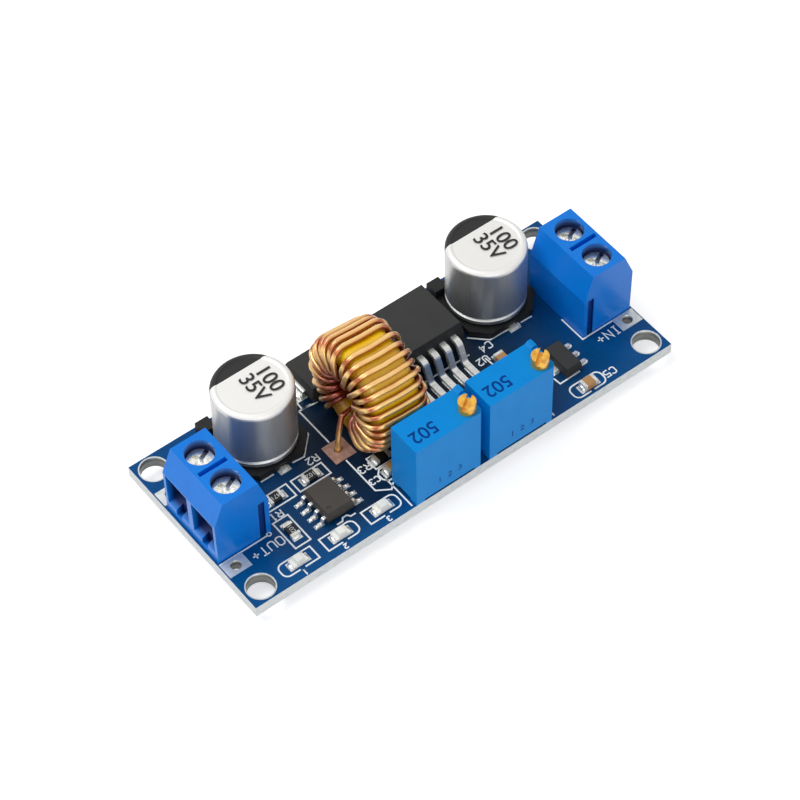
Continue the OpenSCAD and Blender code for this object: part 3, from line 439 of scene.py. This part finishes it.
def can_aluminium(name, node):
    """Satin drawn can with a lacquered pale top and the black segment of the negative side."""
    middle = middle_mm(node)
    low, high = box_mm(node)
    radius = (high.x - low.x) / 2
    finish = Finish(name, srgb(206, 207, 206), 0.36, 0.9)
    finish.vary(1.4, srgb(176, 177, 177), 0.5, 0.42, (1, 1, 0.12))
    place = finish.split(finish.place)
    out_y = finish.math("SUBTRACT", place[1], middle.y * MM)
    across = finish.distance(finish.place, (0, 1), middle)
    upper = finish.ramp(place[2], (high.z - 0.5) * MM, (high.z - 0.35) * MM)
    inside = finish.math("LESS_THAN", across, (radius - 0.1) * MM)
    top = finish.math("MULTIPLY", upper, inside)
    finish.paint(top, srgb(246, 245, 242), 0.42)
    metallic = finish.math("SUBTRACT", 0.85, finish.math("MULTIPLY", top, 0.6))
    finish.link(metallic, finish.shader.inputs["Metallic"])
    beyond = finish.math("GREATER_THAN", out_y, NEGATIVE_SIDE * MM)
    rolled = finish.ramp(place[2], (high.z - 0.75) * MM, (high.z - 0.7) * MM)
    finish.paint(finish.math("MULTIPLY", rolled, beyond), srgb(24, 25, 25), 0.45)
    finish.grain(0.3, 0.002, scales=(1, 1, 0.08))
    return finish.done()


def core_coating():
    """Glossy yellow coating, deeper orange where it is thick, with painted shade turning it brown towards the
    bore.
    """
    middle = middle_mm("inductor_core")
    finish = Finish("core_coating", srgb(255, 212, 6), 0.3)
    finish.vary(2.4, srgb(255, 178, 0), 0.45)
    out = finish.distance(finish.place, (1, 2), middle)
    # Painted shade: brown towards the bore
    finish.paint(finish.math("MULTIPLY", finish.ramp(out, 6.7 * MM, 5.2 * MM), 0.7), srgb(150, 72, 14))
    finish.grain(0.8, 0.03)
    return finish.set(Coat_Weight=0.3, Coat_Roughness=0.1).done()


def enamelled_copper():
    """Copper under clear amber enamel, with painted shade: brown in the creases between the turns, and
    reddish brown and duller towards the bore.
    """
    middle = middle_mm("inductor_core")
    low, high = box_mm("inductor_core")
    finish = Finish("enamelled_copper", srgb(255, 214, 136), 0.2, 0.55)
    finish.vary(1.8, srgb(244, 168, 88), 0.5)
    place = finish.split(finish.place)
    from_x = finish.math("SUBTRACT", place[0], middle.x * MM)
    from_y = finish.math("SUBTRACT", place[1], middle.y * MM)
    out_z = finish.math("SUBTRACT", place[2], middle.z * MM)
    along = finish.math("ADD", finish.math("MULTIPLY", from_x, math.cos(YAW)),
                        finish.math("MULTIPLY", from_y, math.sin(YAW)))
    across = finish.math("SUBTRACT", finish.math("MULTIPLY", from_y, math.cos(YAW)),
                         finish.math("MULTIPLY", from_x, math.sin(YAW)))
    out = finish.math("SQRT", finish.math("ADD", finish.math("MULTIPLY", across, across),
                                          finish.math("MULTIPLY", out_z, out_z)))
    # How far the surface stands off the core, little in the creases between the turns
    off_rim = finish.math("SUBTRACT", out, (high.z - low.z) / 2 * MM)
    off_face = finish.math("SUBTRACT", finish.math("ABSOLUTE", along), CORE_H / 2 * MM)
    standing = finish.math("MAXIMUM", off_rim, off_face)
    # Painted shade: brown in the creases between the turns
    crease = finish.ramp(standing, 0.74 * MM, 0.4 * MM)
    finish.paint(finish.math("MULTIPLY", crease, 0.9), srgb(168, 72, 20))
    # Painted shade: reddish brown, and duller, towards the bore
    finish.paint(finish.math("MULTIPLY", finish.ramp(out, 6.6 * MM, 3.8 * MM), 0.9), srgb(124, 34, 16), 0.3)
    finish.grain(0.5, 0.01)
    return finish.set(Coat_Weight=0.6, Coat_Roughness=0.06).done()


def ceramic_element():
    """White ceramic with a dark resistive track up its front."""
    middle = middle_mm("trimmer_elements")
    finish = Finish("element_ceramic", srgb(232, 231, 226), 0.5)
    finish.vary(1.0, srgb(214, 212, 205), 0.5)
    place = finish.split(finish.place)
    track = finish.math("LESS_THAN", place[1], (middle.y - 0.1) * MM)
    finish.paint(track, srgb(40, 38, 36), 0.6)
    return finish.grain(0.1, 0.004).done()


def make_materials():
    return {
        "solder_mask": solder_mask(),
        "tinned_copper": tinned_copper(),
        "bare_copper": metal("bare_copper", srgb(206, 166, 150), 0.45, srgb(150, 116, 104), 0.7, 0.02, 0.7),
        "solder": metal("solder", srgb(244, 245, 242), 0.16, srgb(186, 188, 188), 0.5, 0.04),
        "terminal_plastic": terminal_plastic(),
        "contact_metal": metal("contact_metal", srgb(232, 232, 228), 0.26, srgb(176, 178, 178), 0.7, 0.006),
        "screw_steel": screw_steel(),
        "spring_steel": metal("spring_steel", srgb(188, 192, 196), 0.3, srgb(130, 134, 140), 0.9, 0.01),
        "trimmer_plastic": plastic("trimmer_plastic", srgb(0, 146, 232), srgb(0, 134, 218), 0.4,
                                   shine=0.15).done(),
        "screw_brass": metal("screw_brass", srgb(250, 196, 84), 0.2, srgb(196, 116, 40), 0.7, 0.006, 0.7),
        "carriage_nylon": plastic("carriage_nylon", srgb(238, 234, 220), srgb(222, 216, 198), 0.5).done(),
        "wiper_metal": metal("wiper_metal", srgb(232, 200, 120), 0.24, srgb(180, 140, 70), 0.5, 0.01),
        "element_ceramic": ceramic_element(),
        "seal_resin": plastic("seal_resin", srgb(14, 60, 112), srgb(8, 44, 88), 0.3, 0.4, 0.03).done(),
        "base_plastic": plastic("base_plastic", srgb(24, 25, 25), srgb(16, 17, 17), 0.55).done(),
        "core_coating": core_coating(),
        "enamelled_copper": enamelled_copper(),
        "chip_resin": plastic("chip_resin", srgb(52, 53, 52), srgb(42, 43, 42), 0.62, 0.06, 0.006).done(),
        "small_chip_resin": plastic("small_chip_resin", srgb(74, 70, 66), srgb(62, 58, 55), 0.6,
                                    0.06, 0.006).done(),
        "resistor_film": plastic("resistor_film", srgb(30, 30, 32), srgb(22, 22, 24), 0.3, 0.15).done(),
        "end_cap_tin": metal("end_cap_tin", srgb(236, 236, 230), 0.36, srgb(176, 176, 172), 0.3, 0.02),
        "ceramic_tan": plastic("ceramic_tan", srgb(196, 148, 96), srgb(176, 128, 80), 0.45, 0.1).done(),
        "lamp_white": plastic("lamp_white", srgb(252, 252, 246), srgb(242, 242, 232), 0.45).done(),
        "lamp_resin": plastic("lamp_resin", srgb(254, 255, 248), srgb(246, 250, 232), 0.25).set(
            Coat_Weight=0.3).done(),
    }


def dress_nodes(materials):
    """Gives every CAD node the finish of its slot in the record."""
    cans = {name: can_aluminium(name.replace("capacitor", "drawn"), name)
            for name in ("left_capacitor_can", "right_capacitor_can")}
    for part in frame["record"]["subparts"]:
        node = NODES[part["node"]]
        finish = cans.get(part["node"]) or materials[part["material_slot"]]
        if not node.material_slots:
            node.data.materials.append(finish)
        for slot in node.material_slots:
            slot.material = finish


# ---------------------------------------------------------------- meshes

def add_piece(name, verts, faces, material, body=BODY, smooth=False):
    """A mesh piece from points in millimetres, riding on a body."""
    mesh = bpy.data.meshes.new(name)
    mesh.from_pydata([Vector(v) * MM for v in verts], [], faces)
    mesh.validate()
    mesh.materials.append(material)
    cleaner = bmesh.new()
    cleaner.from_mesh(mesh)
    bmesh.ops.recalc_face_normals(cleaner, faces=cleaner.faces)
    cleaner.to_mesh(mesh)
    cleaner.free()
    if smooth:
        mesh.shade_smooth()
    piece = bpy.data.objects.new(name, mesh)
    bpy.context.scene.collection.objects.link(piece)
    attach(piece, body)
    return piece


class Shapes:
    """Collects closed shapes in millimetres for one piece."""

    def __init__(self):
        self.verts = []
        self.faces = []

    def add(self, verts, faces):
        start = len(self.verts)
        self.verts += [tuple(v) for v in verts]
        self.faces += [tuple(i + start for i in face) for face in faces]

    def band(self, points, width, low, high, closed=False):
        """A flat band of one width along points in the plane, with mitred corners."""
        points = [Vector(p) for p in points]
        count = len(points)
        left, right = [], []
        for i, point in enumerate(points):
            after = points[(i + 1) % count] - point if closed or i < count - 1 else None
            before = point - points[i - 1] if closed or i > 0 else None
            before = (before or after).normalized()
            after = (after or before).normalized()
            way = (before + after).normalized()
            side = Vector((-way.y, way.x)) * (width / 2 / max(0.4, before.dot(way)))
            left.append(point + side)
            right.append(point - side)
        verts = []
        for a, b in zip(left, right):
            verts += [(a.x, a.y, low), (b.x, b.y, low), (b.x, b.y, high), (a.x, a.y, high)]
        faces = []
        for i in range(count if closed else count - 1):
            a, b = 4 * i, 4 * ((i + 1) % count)
            faces += [(a + k, a + (k + 1) % 4, b + (k + 1) % 4, b + k) for k in range(4)]
        if not closed:
            faces += [(3, 2, 1, 0), tuple(4 * (count - 1) + k for k in range(4))]
        self.add(verts, faces)

    def ring(self, centre, outer, inner, low, high, sides=48):
        """A tube's wall around an upright axis."""
        profile = [(outer, low), (outer, high), (inner, high), (inner, low)]
        verts = []
        for i in range(sides):
            angle = math.tau * i / sides
            verts += [(centre[0] + r * math.cos(angle), centre[1] + r * math.sin(angle), z)
                      for r, z in profile]
        faces = []
        for i in range(sides):
            a, b = 4 * i, 4 * ((i + 1) % sides)
            faces += [(a + k, b + k, b + (k + 1) % 4, a + (k + 1) % 4) for k in range(4)]
        self.add(verts, faces)

    def dome(self, centre, length, width, low, height, square=3.0, rings=5, sides=28):
        """A pool of solder: a rounded rectangle that swells to a low dome."""
        verts, faces = [], []
        for j in range(rings):
            lift = math.sin(math.pi / 2 * j / rings)
            spread = math.cos(math.pi / 2 * j / rings)
            for i in range(sides):
                c, s = math.cos(math.tau * i / sides), math.sin(math.tau * i / sides)
                verts.append((centre[0] + spread * length / 2 * math.copysign(abs(c) ** (2 / square), c),
                              centre[1] + spread * width / 2 * math.copysign(abs(s) ** (2 / square), s),
                              low + height * lift))
        verts.append((centre[0], centre[1], low + height))
        for j in range(rings - 1):
            for i in range(sides):
                a, b = j * sides + i, j * sides + (i + 1) % sides
                faces.append((a, b, b + sides, a + sides))
        last = (rings - 1) * sides
        faces += [(last + i, last + (i + 1) % sides, len(verts) - 1) for i in range(sides)]
        faces.append(tuple(reversed(range(sides))))
        self.add(verts, faces)

    def piece(self, name, material, slot, body=BODY, smooth=False):
        return add_piece(name, self.verts, self.faces, material, body, smooth)


# ---------------------------------------------------------------- inductor winding

# The same winding as the CAD solid's, swept with more and rounder steps
WIRE_D = 0.72
CORE_ID = 7.4
CORE_H = 6.6
FIT_GAP = 0.05
FACE_BOW = 0.4
TURNS = 27
TURN_STEP = 10.5
FIRST_TURN = 141
WIDE_GAP = 5
YAW = math.radians(-4.5)
END_REACH = 5.6
END_Y = -0.45
WIRE_RISE = 1.2
MOUTH_REACH = 0.4
WIRE_FOOT = -1.4
OUTER_BEND = 1.8
INNER_BEND = 1.5
BEND_STEPS = 7
LEAD_STEPS = 14
WIRE_SIDES = 14


def corner_arc(before, corner, after, radius):
    """Points of the arc that rounds a corner."""
    a, b = (before - corner).normalized(), (after - corner).normalized()
    half = a.angle(b) / 2
    centre = corner + (a + b).normalized() * radius / math.sin(half)
    start = corner + a * radius / math.tan(half) - centre
    end = corner + b * radius / math.tan(half) - centre
    sweep = math.pi - 2 * half
    points = []
    for i in range(BEND_STEPS + 1):
        t = i / BEND_STEPS
        mixed = math.sin((1 - t) * sweep) * start + math.sin(t * sweep) * end
        points.append(centre + mixed / math.sin(sweep))
    return points


class Winding:
    """Path of the wire around the core, in millimetres."""

    def __init__(self):
        low, high = box_mm("inductor_core")
        self.centre = (low + high) / 2
        self.wound_r = (high.z - low.z) / 2 + FIT_GAP + WIRE_D / 2
        self.wound_half = CORE_H / 2 + FIT_GAP + WIRE_D / 2
        self.bore_r = CORE_ID / 2 - FIT_GAP - WIRE_D / 2
        # The least step inwards that lets a turn nest between its two neighbours
        nest_side = self.bore_r * math.sin(math.radians(TURN_STEP))
        nest_sag = self.bore_r * (1 - math.cos(math.radians(TURN_STEP)))
        self.layer_step = FIT_GAP + nest_sag + math.sqrt(WIRE_D ** 2 - nest_side ** 2)
        self.axis = Vector((math.cos(YAW), math.sin(YAW), 0))
        self.side = Vector((-math.sin(YAW), math.cos(YAW), 0))

    def section(self, k):
        """One turn around the core's section; odd turns lie over the others in the bore."""
        over = (k % 2) * self.layer_step
        a = self.wound_half + FACE_BOW
        inner_a = self.wound_half + over
        inner_r = self.bore_r - over
        stops = [Vector(p) for p in ((0, self.wound_r), (a, self.wound_r), (inner_a, inner_r),
                                     (-inner_a, inner_r), (-a, self.wound_r), (0, self.wound_r))]
        points = [stops[0]]
        for i in range(1, 5):
            bend = OUTER_BEND if i in (1, 4) else INNER_BEND
            points += corner_arc(stops[i - 1], stops[i], stops[i + 1], bend)
        return points

    def angle(self, n):
        wide_gap_turn = math.floor(FIRST_TURN / TURN_STEP)
        gap = WIDE_GAP * min(max(n - wide_gap_turn, 0), 1)
        return math.radians(FIRST_TURN - TURN_STEP * n - gap)

    def point(self, axial, radius, n):
        angle = self.angle(n)
        across = Vector((0, 0, 1)) * math.cos(angle) - self.side * math.sin(angle)
        return self.centre + self.axis * axial + across * radius

    def around(self, n):
        """Direction around the ring, which no stretch of the wire runs along."""
        angle = self.angle(n)
        return -self.side * math.cos(angle) - Vector((0, 0, 1)) * math.sin(angle)

    def turn(self, k, first, last):
        section = self.section(k)
        lengths = [0.0]
        for a, b in zip(section, section[1:]):
            lengths.append(lengths[-1] + (b - a).length)
        whole = lengths[-1]
        return [(self.point(*section[i], k + lengths[i] / whole), self.around(k + lengths[i] / whole))
                for i in range(first, last + 1)]

    def lead(self, side):
        """From a hole in the board up across the core's face into the bore's mouth."""
        x = self.centre.x + side * END_REACH
        foot, rise = Vector((x, END_Y, WIRE_FOOT)), Vector((x, END_Y, TOP))
        mouth = self.centre + self.axis * side * self.wound_half - Vector((0, 0, self.bore_r))
        stops = (rise, rise + Vector((0, 0, WIRE_RISE)), mouth + self.axis * side * MOUTH_REACH, mouth)
        path = [foot]
        for i in range(LEAD_STEPS + 1):
            t = i / LEAD_STEPS
            weights = ((1 - t) ** 3, 3 * t * (1 - t) ** 2, 3 * t * t * (1 - t), t ** 3)
            path.append(sum((w * p for w, p in zip(weights, stops)), Vector()))
        return [(p, -self.side) for p in path]

    def path(self):
        corner = BEND_STEPS + 1
        run = self.lead(1) + self.turn(-1, 2 * corner + 1, 4 * corner)
        for k in range(TURNS):
            run += self.turn(k, 0, 4 * corner)
        run += self.turn(TURNS, 0, 2 * corner)
        return run + self.lead(-1)[::-1]


def make_winding(material):
    run = Winding().path()
    verts, faces = [], []
    for i, (point, side) in enumerate(run):
        before = (point - run[i - 1][0]).normalized() if i else None
        after = (run[i + 1][0] - point).normalized() if i < len(run) - 1 else None
        way = ((before or after) + (after or before)).normalized()
        u = side.cross(way).normalized()
        v = way.cross(u)
        for j in range(WIRE_SIDES):
            angle = math.tau * j / WIRE_SIDES
            verts.append(point + WIRE_D / 2 * (u * math.cos(angle) + v * math.sin(angle)))
    for i in range(len(run) - 1):
        for j in range(WIRE_SIDES):
            a, b = i * WIRE_SIDES + j, i * WIRE_SIDES + (j + 1) % WIRE_SIDES
            faces.append((a, b, b + WIRE_SIDES, a + WIRE_SIDES))
    last = (len(run) - 1) * WIRE_SIDES
    faces.append(tuple(reversed(range(WIRE_SIDES))))
    faces.append(tuple(last + j for j in range(WIRE_SIDES)))
    piece = add_piece("copper_winding", verts, faces, material, smooth=True)
    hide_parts("inductor_winding")


# ---------------------------------------------------------------- print on the board

SILK_W = 0.2
LETTER_W = SILK_W * 0.85
SILK_LOW = TOP - 0.01
SILK_HIGH = TOP + 0.02

# Strokes of the letters on a grid 4 wide and 6 high
STROKES = {
    "1": [[(1, 5), (2, 6), (2, 0)], [(1, 0), (3, 0)]],
    "2": [[(0, 5), (1, 6), (3, 6), (4, 5), (4, 4), (0, 0), (4, 0)]],
    "3": [[(0, 5), (1, 6), (3, 6), (4, 5), (4, 4), (3, 3), (4, 2), (4, 1), (3, 0), (1, 0), (0, 1)]],
    "4": [[(3, 0), (3, 6), (0, 2), (4, 2)]],
    "5": [[(4, 6), (0, 6), (0, 3.5), (3, 3.5), (4, 2.5), (4, 1), (3, 0), (0, 0)]],
    "C": [[(4, 5), (3, 6), (1, 6), (0, 5), (0, 1), (1, 0), (3, 0), (4, 1)]],
    "I": [[(2, 0), (2, 6)], [(0.8, 6), (3.2, 6)], [(0.8, 0), (3.2, 0)]],
    "N": [[(0, 0), (0, 6), (4, 0), (4, 6)]],
    "O": [[(1, 0), (3, 0), (4, 1), (4, 5), (3, 6), (1, 6), (0, 5), (0, 1), (1, 0)]],
    "R": [[(0, 0), (0, 6), (3, 6), (4, 5), (4, 4), (3, 3), (0, 3)], [(2, 3), (4, 0)]],
    "T": [[(0, 6), (4, 6)], [(2, 6), (2, 0)]],
    "U": [[(0, 6), (0, 1), (1, 0), (3, 0), (4, 1), (4, 6)]],
    "+": [[(0, 3), (4, 3)], [(2, 1), (2, 5)]],
}
GRID_W, GRID_H, GRID_GAP = 4, 6, 1.7


def silk_text(shapes, words, centre, height):
    """Stroke letters read towards -X, centred on a place of the board's top."""
    right, up = Vector((-1, 0)), Vector((0, -1))
    unit = height / GRID_H
    whole = (len(words) * (GRID_W + GRID_GAP) - GRID_GAP) * unit
    start = Vector(centre) - right * whole / 2 - up * height / 2
    for i, letter in enumerate(words):
        left = start + right * i * (GRID_W + GRID_GAP) * unit
        for stroke in STROKES[letter]:
            points = [left + right * x * unit + up * y * unit for x, y in stroke]
            shapes.band(points, LETTER_W, SILK_LOW, SILK_HIGH)


def silk_line(shapes, *points, closed=False):
    shapes.band(points, SILK_W, SILK_LOW, SILK_HIGH, closed)


# Radius and steps of an outline's round corners, and half the breaks in its long sides
ROUND_R = 0.75
ROUND_STEPS = 6
LAMP_BREAK = 0.35
ROUND_BREAK = 0.25


def rounded_end(left, right, front, back, side):
    """An outline whose end on one side is rounded, starting at the break in its front."""
    end_x, other_x = (left, right) if side < 0 else (right, left)
    inner_x = end_x - side * ROUND_R
    angles = [math.pi / 2 * i / ROUND_STEPS for i in range(ROUND_STEPS + 1)]
    front_corner = [(inner_x + side * ROUND_R * math.sin(a), front + ROUND_R * (1 - math.cos(a)))
                    for a in angles]
    back_corner = [(inner_x + side * ROUND_R * math.cos(a), back - ROUND_R * (1 - math.sin(a)))
                   for a in angles]
    return front_corner + back_corner + [(other_x, back), (other_x, front)]


def outlined(shapes, left, right, front, back):
    silk_line(shapes, (left, front), (right, front), (right, back), (left, back), closed=True)


def lamp_outline(shapes, left, right, front, back, side):
    """Outline of a lamp with one round end and a break in its front line."""
    points = rounded_end(left, right, front, back, side)
    middle = (left + right) / 2
    first = (middle + side * LAMP_BREAK, front)
    last = (middle - side * LAMP_BREAK, front)
    silk_line(shapes, first, *points, last)


def round_outline(shapes, left, right, front, back):
    """An outline with both ends rounded and a break in its front and back lines."""
    middle = (left + right) / 2
    for side in (-1, 1):
        points = rounded_end(left, right, front, back, side)[:-2]
        break_x = middle + side * ROUND_BREAK
        silk_line(shapes, (break_x, front), *points, (break_x, back))


def make_silk(material):
    shapes = Shapes()
    # Capacitors
    silk_line(shapes, (-20.05, 1.3), (-18.2, 1.3))
    silk_line(shapes, (-15.5, 1.3), (-13.9, 1.14), (-11.5, 3.57), (-11.5, 10.5))
    silk_line(shapes, (12.3, 3.36), (14.3, 1.39), (17.0, 1.3))
    silk_line(shapes, (18.9, 1.2), (20.6, 1.15))
    # Switching chip and diode
    silk_line(shapes, (1.4, 1.15), (10.9, 1.15))
    silk_line(shapes, (-9.8, 8.3), (-9.85, 7.0), (-7.7, 6.7))
    # Inductor and the box around the parts beside it
    silk_line(shapes, (-10.35, -2.3), (-10.35, -7.95), (-8.75, -9.0), (-8.0, -8.3))
    silk_line(shapes, (-10.35, 6.95), (-10.35, 1.0))
    silk_line(shapes, (-10.35, 6.95), (-8.6, 6.95))
    # Small outlines
    outlined(shapes, -17.3, -12.85, -2.7, -0.75)
    silk_line(shapes, (-22.4, -2.8), (-17.95, -2.8), (-17.95, -0.7), (-22.4, -0.7))
    outlined(shapes, -22.55, -20.4, -8.85, -4.4)
    silk_line(shapes, (-5.2, -5.55), (-8.4, -5.55), (-8.4, -3.65), (-5.2, -3.65))
    silk_line(shapes, (-5.2, -7.8), (-8.2, -7.8), (-8.7, -7.2), (-8.7, -6.35), (-8.2, -5.8), (-5.2, -5.8))
    silk_line(shapes, (-14.1, -9.1), (-14.8, -9.1), (-15.1, -8.7), (-15.7, -8.7), (-16.0, -9.1),
              (-16.8, -9.1))
    silk_line(shapes, (19.7, -9.06), (16.6, -9.1), (16.5, -8.0))
    silk_line(shapes, (12.04, -0.42), (12.2, -2.1))
    round_outline(shapes, 16.7, 21.4, -12.25, -10.25)
    # Lamps
    lamp_outline(shapes, -25.9, -21.1, -11.55, -9.55, -1)
    lamp_outline(shapes, -19.75, -15.0, -11.5, -9.5, 1)
    lamp_outline(shapes, -13.65, -8.95, -11.5, -9.45, 1)
    # Terminals
    silk_line(shapes, (-30.8, -5.35), (-24.05, -5.35))
    shapes.ring((-23.75, -5.3), 0.34, 0.17, SILK_LOW, SILK_HIGH, 20)
    silk_line(shapes, (-22.9, -2.8), (-22.85, 5.3))
    silk_line(shapes, (30.8, -5.5), (23.1, -5.5), (23.1, -1.5))
    # Trimmers
    silk_line(shapes, (-8.35, -12.35), (-8.35, -7.4))
    silk_line(shapes, (13.0, -12.35), (13.0, -7.4))
    for words, centre, height in (
            ("OUT+", (-25.0, -6.85), 1.2), ("IN+", (26.0, -6.85), 1.25),
            ("1", (-23.6, -12.14), 0.62), ("2", (-17.8, -12.14), 0.62), ("3", (-11.5, -12.14), 0.62),
            ("R2", (-13.4, 0.2), 0.95), ("R3", (-9.35, -4.6), 0.95), ("C3", (-9.52, -6.75), 0.78),
            ("C4", (13.2, 0.9), 1.0), ("C5", (22.4, -11.4), 0.95), ("U2", (11.6, -0.6), 0.95),
            ("R1", (-21.5, -3.7), 0.95), ("C2", (18.0, 1.25), 0.75), ("C1", (-16.85, 1.25), 0.75)):
        silk_text(shapes, words, centre, height)
    shapes.piece("white_print", material, "lamp_white")


# ---------------------------------------------------------------- print on the parts

# A font's size for capitals of height 1, and the depth of the lettering on the parts
FONT_SIZE = 1.4
PRINT_DEPTH = 0.006
# Heights of the lettering
CAN_TEXT = 1.95
VALUE_TEXT = 1.75
PIN_TEXT = 1.0
CODE_TEXT = 0.6
# How far a trimmer's ear stands above its roof
EAR_H = 0.3


def print_text(name, words, origin, right, up, height, material, bold=0.0):
    """Flat lettering centred on a place of a part's face, in millimetres."""
    right, up = Vector(right), Vector(up)
    data = bpy.data.curves.new(name, "FONT")
    data.body = words
    data.align_x = "CENTER"
    data.align_y = "CENTER"
    data.size = height * MM * FONT_SIZE
    data.offset = bold * MM
    data.extrude = PRINT_DEPTH * MM
    data.materials.append(material)
    piece = bpy.data.objects.new(name, data)
    turn = Matrix((right, up, right.cross(up))).transposed().to_4x4()
    piece.matrix_world = Matrix.Translation(Vector(origin) * MM) @ turn
    bpy.context.scene.collection.objects.link(piece)
    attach(piece, BODY)


def make_prints(ink, trimmer_ink, code_ink):
    for side in ("left", "right"):
        can_low, can_high = box_mm(f"{side}_capacitor_can")
        can = (can_low + can_high) / 2
        for row, (words, forward) in enumerate((("100", 2.15), ("35V", -0.05))):
            print_text(f"{side}_can_print_{row}", words, (can.x + forward, can.y - 0.45, can_high.z),
                       (0, -1, 0), (1, 0, 0), CAN_TEXT, ink, 0.015)
        low, high = box_mm(f"{side}_trimmer_housing")
        roof = high.z - EAR_H
        print_text(f"{side}_trimmer_value", "502", (low.x + 2.5, low.y + 1.85, roof),
                   (-1, 0, 0), (0, -1, 0), VALUE_TEXT, trimmer_ink, 0.03)
        print_text(f"{side}_trimmer_pins", "1  2  3", ((low.x + high.x) / 2, low.y, low.z + 2.2),
                   (1, 0, 0), (0, 0, 1), PIN_TEXT, trimmer_ink)
    codes = (("inner", "102", (-15.1, -1.75), (-1, 0, 0)), ("outer", "471", (-20.2, -1.75), (-1, 0, 0)),
             ("end", "102", (-21.5, -6.6), (0, -1, 0)))
    top = box_mm("resistor_bodies")[1].z
    for name, words, place, right in codes:
        up = Vector((0, 0, 1)).cross(Vector(right))
        print_text(f"resistor_code_{name}", words, (*place, top), right, up, CODE_TEXT, code_ink)


# ---------------------------------------------------------------- plating and solder

PLATING = 0.04
# The plating's outside sinks into the board by this much
SUNK = 0.01


def make_plating(material):
    shapes = Shapes()
    for x in (-HOLE_X, HOLE_X):
        for y in (-HOLE_Y, HOLE_Y):
            shapes.ring((x, y), HOLE_R + SUNK, HOLE_R - PLATING, BOARD_LOW.z - SUNK, PAD_TOP)
    for mount in frame["record"]["mounts"][1:]:
        x, y, _ = (value / MM for value in mount["pos_m"])
        radius = mount["dims"]["r_mm"]
        shapes.ring((x, y), radius + SUNK, radius - PLATING, BOARD_LOW.z - SUNK, PAD_TOP, 32)
    shapes.piece("hole_plating", material, "tinned_copper", smooth=True)


# A pool's middle past its lead's toe, its length, how much wider than the lead it is, and its height
FOOT_POOLS = {
    "switching_chip_leads": (-0.1, 1.0, 0.3, 0.32),
    "amplifier_chip_leads": (0.05, 0.75, 0.14, 0.26),
    "regulator_leads": (0, 0.7, 0.2, 0.28),
    "diode_leads": (0.1, 0.8, 0, 0.35),
}
# The pools sink a little into the pads
POOL_LOW = PAD_TOP - 0.01
# How much longer than a small part's metal end its pool is, how much narrower, and how high against it
CAP_POOL = (0.62, 0.1, 0.6)
# A lamp's pools: their length, and their shares of its width and height
LAMP_POOL = (0.8, 0.8, 0.8)


def make_solder(material):
    """Pools of solder around the feet of the parts on the board's top."""
    shapes = Shapes()
    for node in FOOT_POOLS:
        for low, high in separate_boxes(node):
            foot_pool(shapes, node, low, high)
    for node in ("resistor_ends", "ceramic_capacitor_ends"):
        for low, high in separate_boxes(node):
            cap_pool(shapes, low, high)
    for low, high in separate_boxes("lamp_carriers"):
        lamp_pools(shapes, low, high)
    shapes.piece("solder_pools", material, "solder", smooth=True)


def separate_boxes(node):
    """Boxes in millimetres of a CAD node's separate solids."""
    mesh = bmesh.new()
    mesh.from_mesh(NODES[node].data)
    bmesh.ops.remove_doubles(mesh, verts=mesh.verts, dist=0.001 * MM)
    waiting = set(mesh.verts)
    boxes = []
    while waiting:
        found = {waiting.pop()}
        edge = list(found)
        while edge:
            for link in edge.pop().link_edges:
                for vert in link.verts:
                    if vert not in found:
                        found.add(vert)
                        edge.append(vert)
        waiting -= found
        low = Vector([min(v.co[i] for v in found) for i in range(3)]) / MM
        high = Vector([max(v.co[i] for v in found) for i in range(3)]) / MM
        boxes.append((low, high))
    mesh.free()
    return sorted(boxes, key=lambda pair: tuple(round(c, 3) for c in (*pair[0], *pair[1])))


def foot_pool(shapes, node, low, high):
    """Solder at a lead's toe, on the side away from its body."""
    past, length, wider, height = FOOT_POOLS[node]
    centre = (low + high) / 2
    size = high - low
    if node == "switching_chip_leads":
        shapes.dome((centre.x, low.y - past), size.x + wider, length, POOL_LOW, height)
        return
    body = middle_mm(node.replace("_leads", "_body"))
    side = math.copysign(1, centre.x - body.x)
    toe = high.x if side > 0 else low.x
    shapes.dome((toe + side * past, centre.y), length, size.y + wider, POOL_LOW, height)


def cap_pool(shapes, low, high):
    """Solder that climbs one metal end of a small part."""
    centre = (low + high) / 2
    size = high - low
    longer, narrower, share = CAP_POOL
    grow = (longer, -narrower) if size.x < size.y else (-narrower, longer)
    shapes.dome((centre.x, centre.y), size.x + grow[0], size.y + grow[1], POOL_LOW, size.z * share)


def lamp_pools(shapes, low, high):
    """Solder at both ends of a lamp."""
    centre = (low + high) / 2
    size = high - low
    length, wide, tall = LAMP_POOL
    for end in (low.x, high.x):
        shapes.dome((end, centre.y), length, size.y * wide, POOL_LOW, size.z * tall)


# ---------------------------------------------------------------- build

make_camera()
make_studio()
materials = make_materials()
dress_nodes(materials)
make_winding(materials["enamelled_copper"])
make_silk(plastic("silk_ink", srgb(252, 255, 255), srgb(238, 246, 250), 0.5, 0.1, 0.01).done())
make_prints(plastic("can_ink", srgb(34, 34, 34), srgb(26, 26, 26), 0.5).done(),
            plastic("trimmer_ink", srgb(0, 62, 142), srgb(0, 52, 124), 0.5, shine=0.1).done(),
            plastic("code_ink", srgb(220, 222, 218), srgb(200, 202, 198), 0.5).done())
make_plating(materials["tinned_copper"])
make_solder(materials["solder"])
